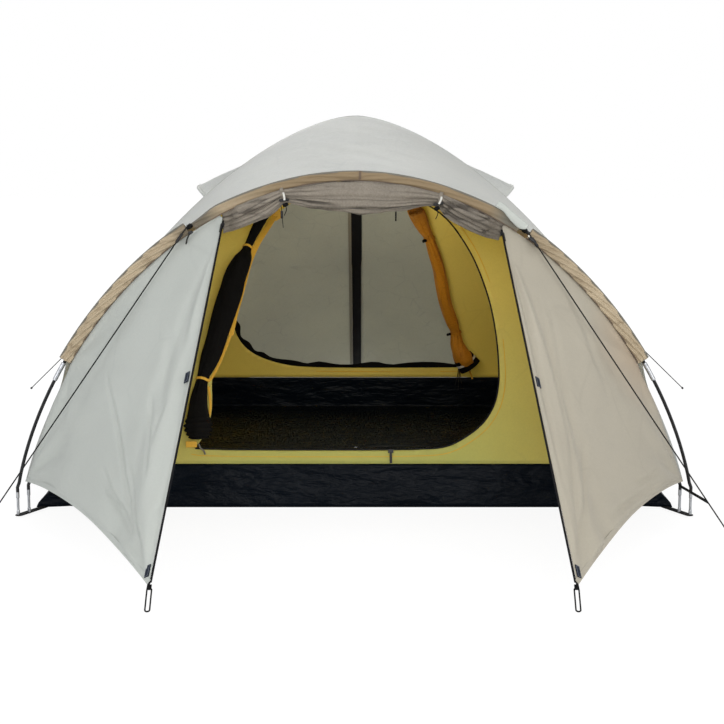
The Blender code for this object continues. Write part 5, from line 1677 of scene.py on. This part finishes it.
def orange_edging():
    """The rolled front door's orange binding beside the roll, and the tail that hangs from its foot."""
    for part, width, lift, stations in (
        ("upper", 0.020, 0.013, EDGING_UPPER),
        ("lower", 0.009, 0.010, EDGING_LOWER),
        ("foot", 0.008, 0.006, EDGING_FOOT),
    ):
        path = []
        outs = []
        for x, _, z in smooth_path([(x, 0, z) for x, z in stations], 8):
            off = lift + 0.003 * hills((x * 9, 0, z * 9), 1.0)
            point, out = wall_point(x, z, -1, off)
            path.append(point)
            outs.append(out)
        ribbon(f"door_edging_{part}", path, outs, width, 0.0024, ORANGE_EDGE)
    fold, out = wall_point(-0.277, 0.934, -1, 0.016)
    block("door_edging_fold", fold, tilted(0.6, out), (0.034, 0.014, 0.040), 0.006, ORANGE_EDGE)
    foot, out = wall_point(-0.538, 0.203, -1, 0.012)
    block("door_foot_band", foot, tilted(0, out), (0.036, 0.004, 0.020), 0.0015, ORANGE_EDGE)
    tail = on_wall(((-0.515, 0.205), (-0.508, 0.192), (-0.498, 0.184), (-0.492, 0.172)), -1, 0.008)
    loose_cord("door_foot_tail", tail, 0.0031, GREY_CORD)


# inner tent


def inner_wall(name, side, material):
    grid = dome_grid(side, FLOOR_X, FLOOR_Y, INNER_TOP, TUB_WALL + GAP, rows=80, columns=70)

    def height(i, j, s, t, point):
        edge = fade(t, 0.05) * smooth(0.0, 0.04, s) * smooth(0.0, 0.03, 1 - s)
        return edge * (0.003 * hills(point, 3.0, side[0] + 2 * side[1]) + 0.0011 * hills(point, 11.0, 2.0))

    wall = grid_piece(name + "_wall", raised(grid, height), material)
    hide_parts(name)
    return wall


def door_wall(name, side):
    wall = inner_wall(name, (0, side), YELLOW)
    rings = [[Vector((x, side * y, z)) for x, z in door_loop(side)] for y in (0.05, FLOOR_Y + 0.1)]
    cut_hole(wall, lofted(name + "_cutter", rings, YELLOW))


def door_zip(name, side):
    """The zip's coil and tape round the D opening, with a seam outside it."""
    for part, grow, width, lift, material in (
        ("tape", 0.0022, 0.0052, 0.0016, BLACK_EDGE),
        ("coil", 0.0018, 0.0028, 0.0030, ZIP),
        ("seam", 0.024, 0.003, 0.0008, GOLD),
    ):
        path, outs = zip(*[wall_point(x, z, side, lift) for x, z in door_curve(side, grow)])
        strip = ribbon(f"{name}_{part}", path, list(outs), width, 0.0014, material)
        if part == "tape":
            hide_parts(name)


def rear_zip_tape():
    """The grey tape along the inside of the rear zip's left edge."""
    _, start, peg = rear_ridge()
    x = -REAR_ZIP_HALF - 0.004
    path = [mix(start, peg, k / 60) + Vector((x, -0.012, -0.009)) for k in range(3, 58)]
    ribbon("rear_zip_tape", path, Vector((0, RIDGE_UP.y, -RIDGE_UP.z)), 0.013, 0.0012, GREY_TAPE)


def rear_flap():
    """A loose strip of cloth along the inside of the rear door's edge, its free side waved."""
    width = 0.018
    edges = [door_curve(1, -width * k / 5) for k in range(-1, 6)]
    rows = []
    for i in range(round(0.56 * len(edges[0]))):
        near = edges[0][i]
        wave = 0.005 * sin(i * 0.9 + 2.5 * hills((i * 0.13, 0, 0), 1.0))
        row = []
        for k, edge in enumerate(edges):
            share = max(0, k - 1) / 5
            x, z = edge[i]
            x += (x - near[0]) / width * wave * share
            z += (z - near[1]) / width * wave * share
            point, out = wall_point(x, z, 1, 0.0018)
            row.append(tuple(point - out * (0.004 + 0.004 * share * sin(i * 0.7))))
        rows.append(row)
    flap = grid_piece("inner_rear_flap", np.array(rows), BLACK_EDGE, 0.0008)


def tub_ring(half_x, half_y, pull, height):
    """A ring of the groundsheet. pull draws its corners out to the straps, as a share of its size."""
    points = []
    for n in range(TUB_ROUND):
        angle = 2 * pi * n / TUB_ROUND
        a, b = drawn_out(angle, 2 / 14)
        drawn = 1 + pull * max(0.0, 1 - abs(angle % (pi / 2) - pi / 4) / 0.30)
        points.append((half_x * drawn * a, half_y * drawn * b, height))
    return points


def ground_tub():
    """The coated floor and its upstand, in one cloth."""
    lean = dome_u_at(TUB_WALL, INNER_TOP)
    wall_rows = 12
    floor_rows = 40
    rings = []
    for share in shares(wall_rows):
        size = mix(lean, 1.0, share)
        pull = TUB_PULL * smooth(0.35, 1.0, share) ** 1.3
        height = mix(TUB_WALL, 0.002, share)
        rings.append(tub_ring(FLOOR_X * size - 0.002, FLOOR_Y * size - 0.002, pull, height))
    for i in range(1, floor_rows + 1):
        share = 1 - i / (floor_rows + 0.2)
        half_x = (FLOOR_X - 0.004) * share
        half_y = (FLOOR_Y - 0.004) * share
        rings.append(tub_ring(half_x, half_y, TUB_PULL * share ** 9, 0.002))
    grid = np.array(rings)
    for i, j in np.ndindex(grid.shape[:2]):
        x, y, z = grid[i, j]
        if i < wall_rows:
            out = np.array([x / FLOOR_X ** 2, y / FLOOR_Y ** 2, 0])
            out /= np.linalg.norm(out)
            dent = 0.004 * hills((x * 3, y * 3, z * 16), 1.6, 2.0)
            dent += 0.0022 * hills((x * 6, y * 6, z * 30), 2.0, 5.0)
            grid[i, j] += out * dent * smooth(0, 0.2, i / wall_rows) * smooth(0, 0.3, 1 - i / wall_rows)
        elif i > wall_rows:
            crease = abs(hills((x, y, 0), 4.0, 1.0)) ** 0.5
            fine = abs(hills((x, y, 0), 13.0, 3.0)) ** 0.7
            grid[i, j, 2] += 0.0075 * (1 - crease) + 0.0035 * (1 - fine)
    grid = np.concatenate([grid, grid[:, :1]], axis=1)
    if make_normals(grid)[0, 0] @ np.array([1, 0, 0.2]) <= 0:
        grid = grid[:, ::-1]
    tub = grid_piece("groundsheet", grid, TUB, 0.0012)
    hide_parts("floor_sheet", "floor_wall")


# finishes of the frame's own pieces


def finish_frame():
    finishes = (
        ("pole_loop", WEBBING), ("peg_loop", WEBBING), ("corner_strap", WEBBING), ("corner_guy", WEBBING),
        ("main_tip", SILVER), ("arch_tip", SILVER), ("ferrule", SILVER),
        ("main_pole", POLE), ("arch_pole", POLE), ("runner", PLASTIC), ("slider", PLASTIC),
        ("vestibule_zip", ZIP_STRIP), ("rear_zip", ZIP_STRIP),
    )
    for name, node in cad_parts.items():
        for key, material in finishes:
            if key in name:
                node.data.materials.clear()
                node.data.materials.append(material)
                node.data.shade_smooth()
                node.data.set_sharp_from_angle(angle=radians(38))
                break


ground_tub()
for way, hand in HANDS:
    fly_side(f"fly_{hand}", way)
    vent_hood(f"vent_hood_{hand}", way)
    side_wall = inner_wall(f"inner_{hand}", (way, 0), GOLD)
front_roof()
rear_fly()
pole_seams()
hem_tapes()
vestibule_wall("vestibule_left", -1, LEFT_PANEL)
vestibule_wall("vestibule_right", 1, RIGHT_PANEL)
sleeves()
arch_roll()
gap_fittings()
for way, end in ENDS:
    door_wall(f"inner_{end}", way)
    door_zip(f"inner_{end}_zip", way)
rear_flap()
rear_zip_tape()
orange_edging()
inner_roll("inner_front_door_roll", FRONT_ROLL, -1, MESH, ORANGE_EDGE, ties=(4, 11), seed=1.0,
           foot_rings=0.09)
inner_roll("inner_rear_door_roll", REAR_ROLL, 1, ORANGE, ORANGE, ties=(4, 10), seed=4.0,
           foot_rings=0.0)
rear_roll_foot()
finish_frame()
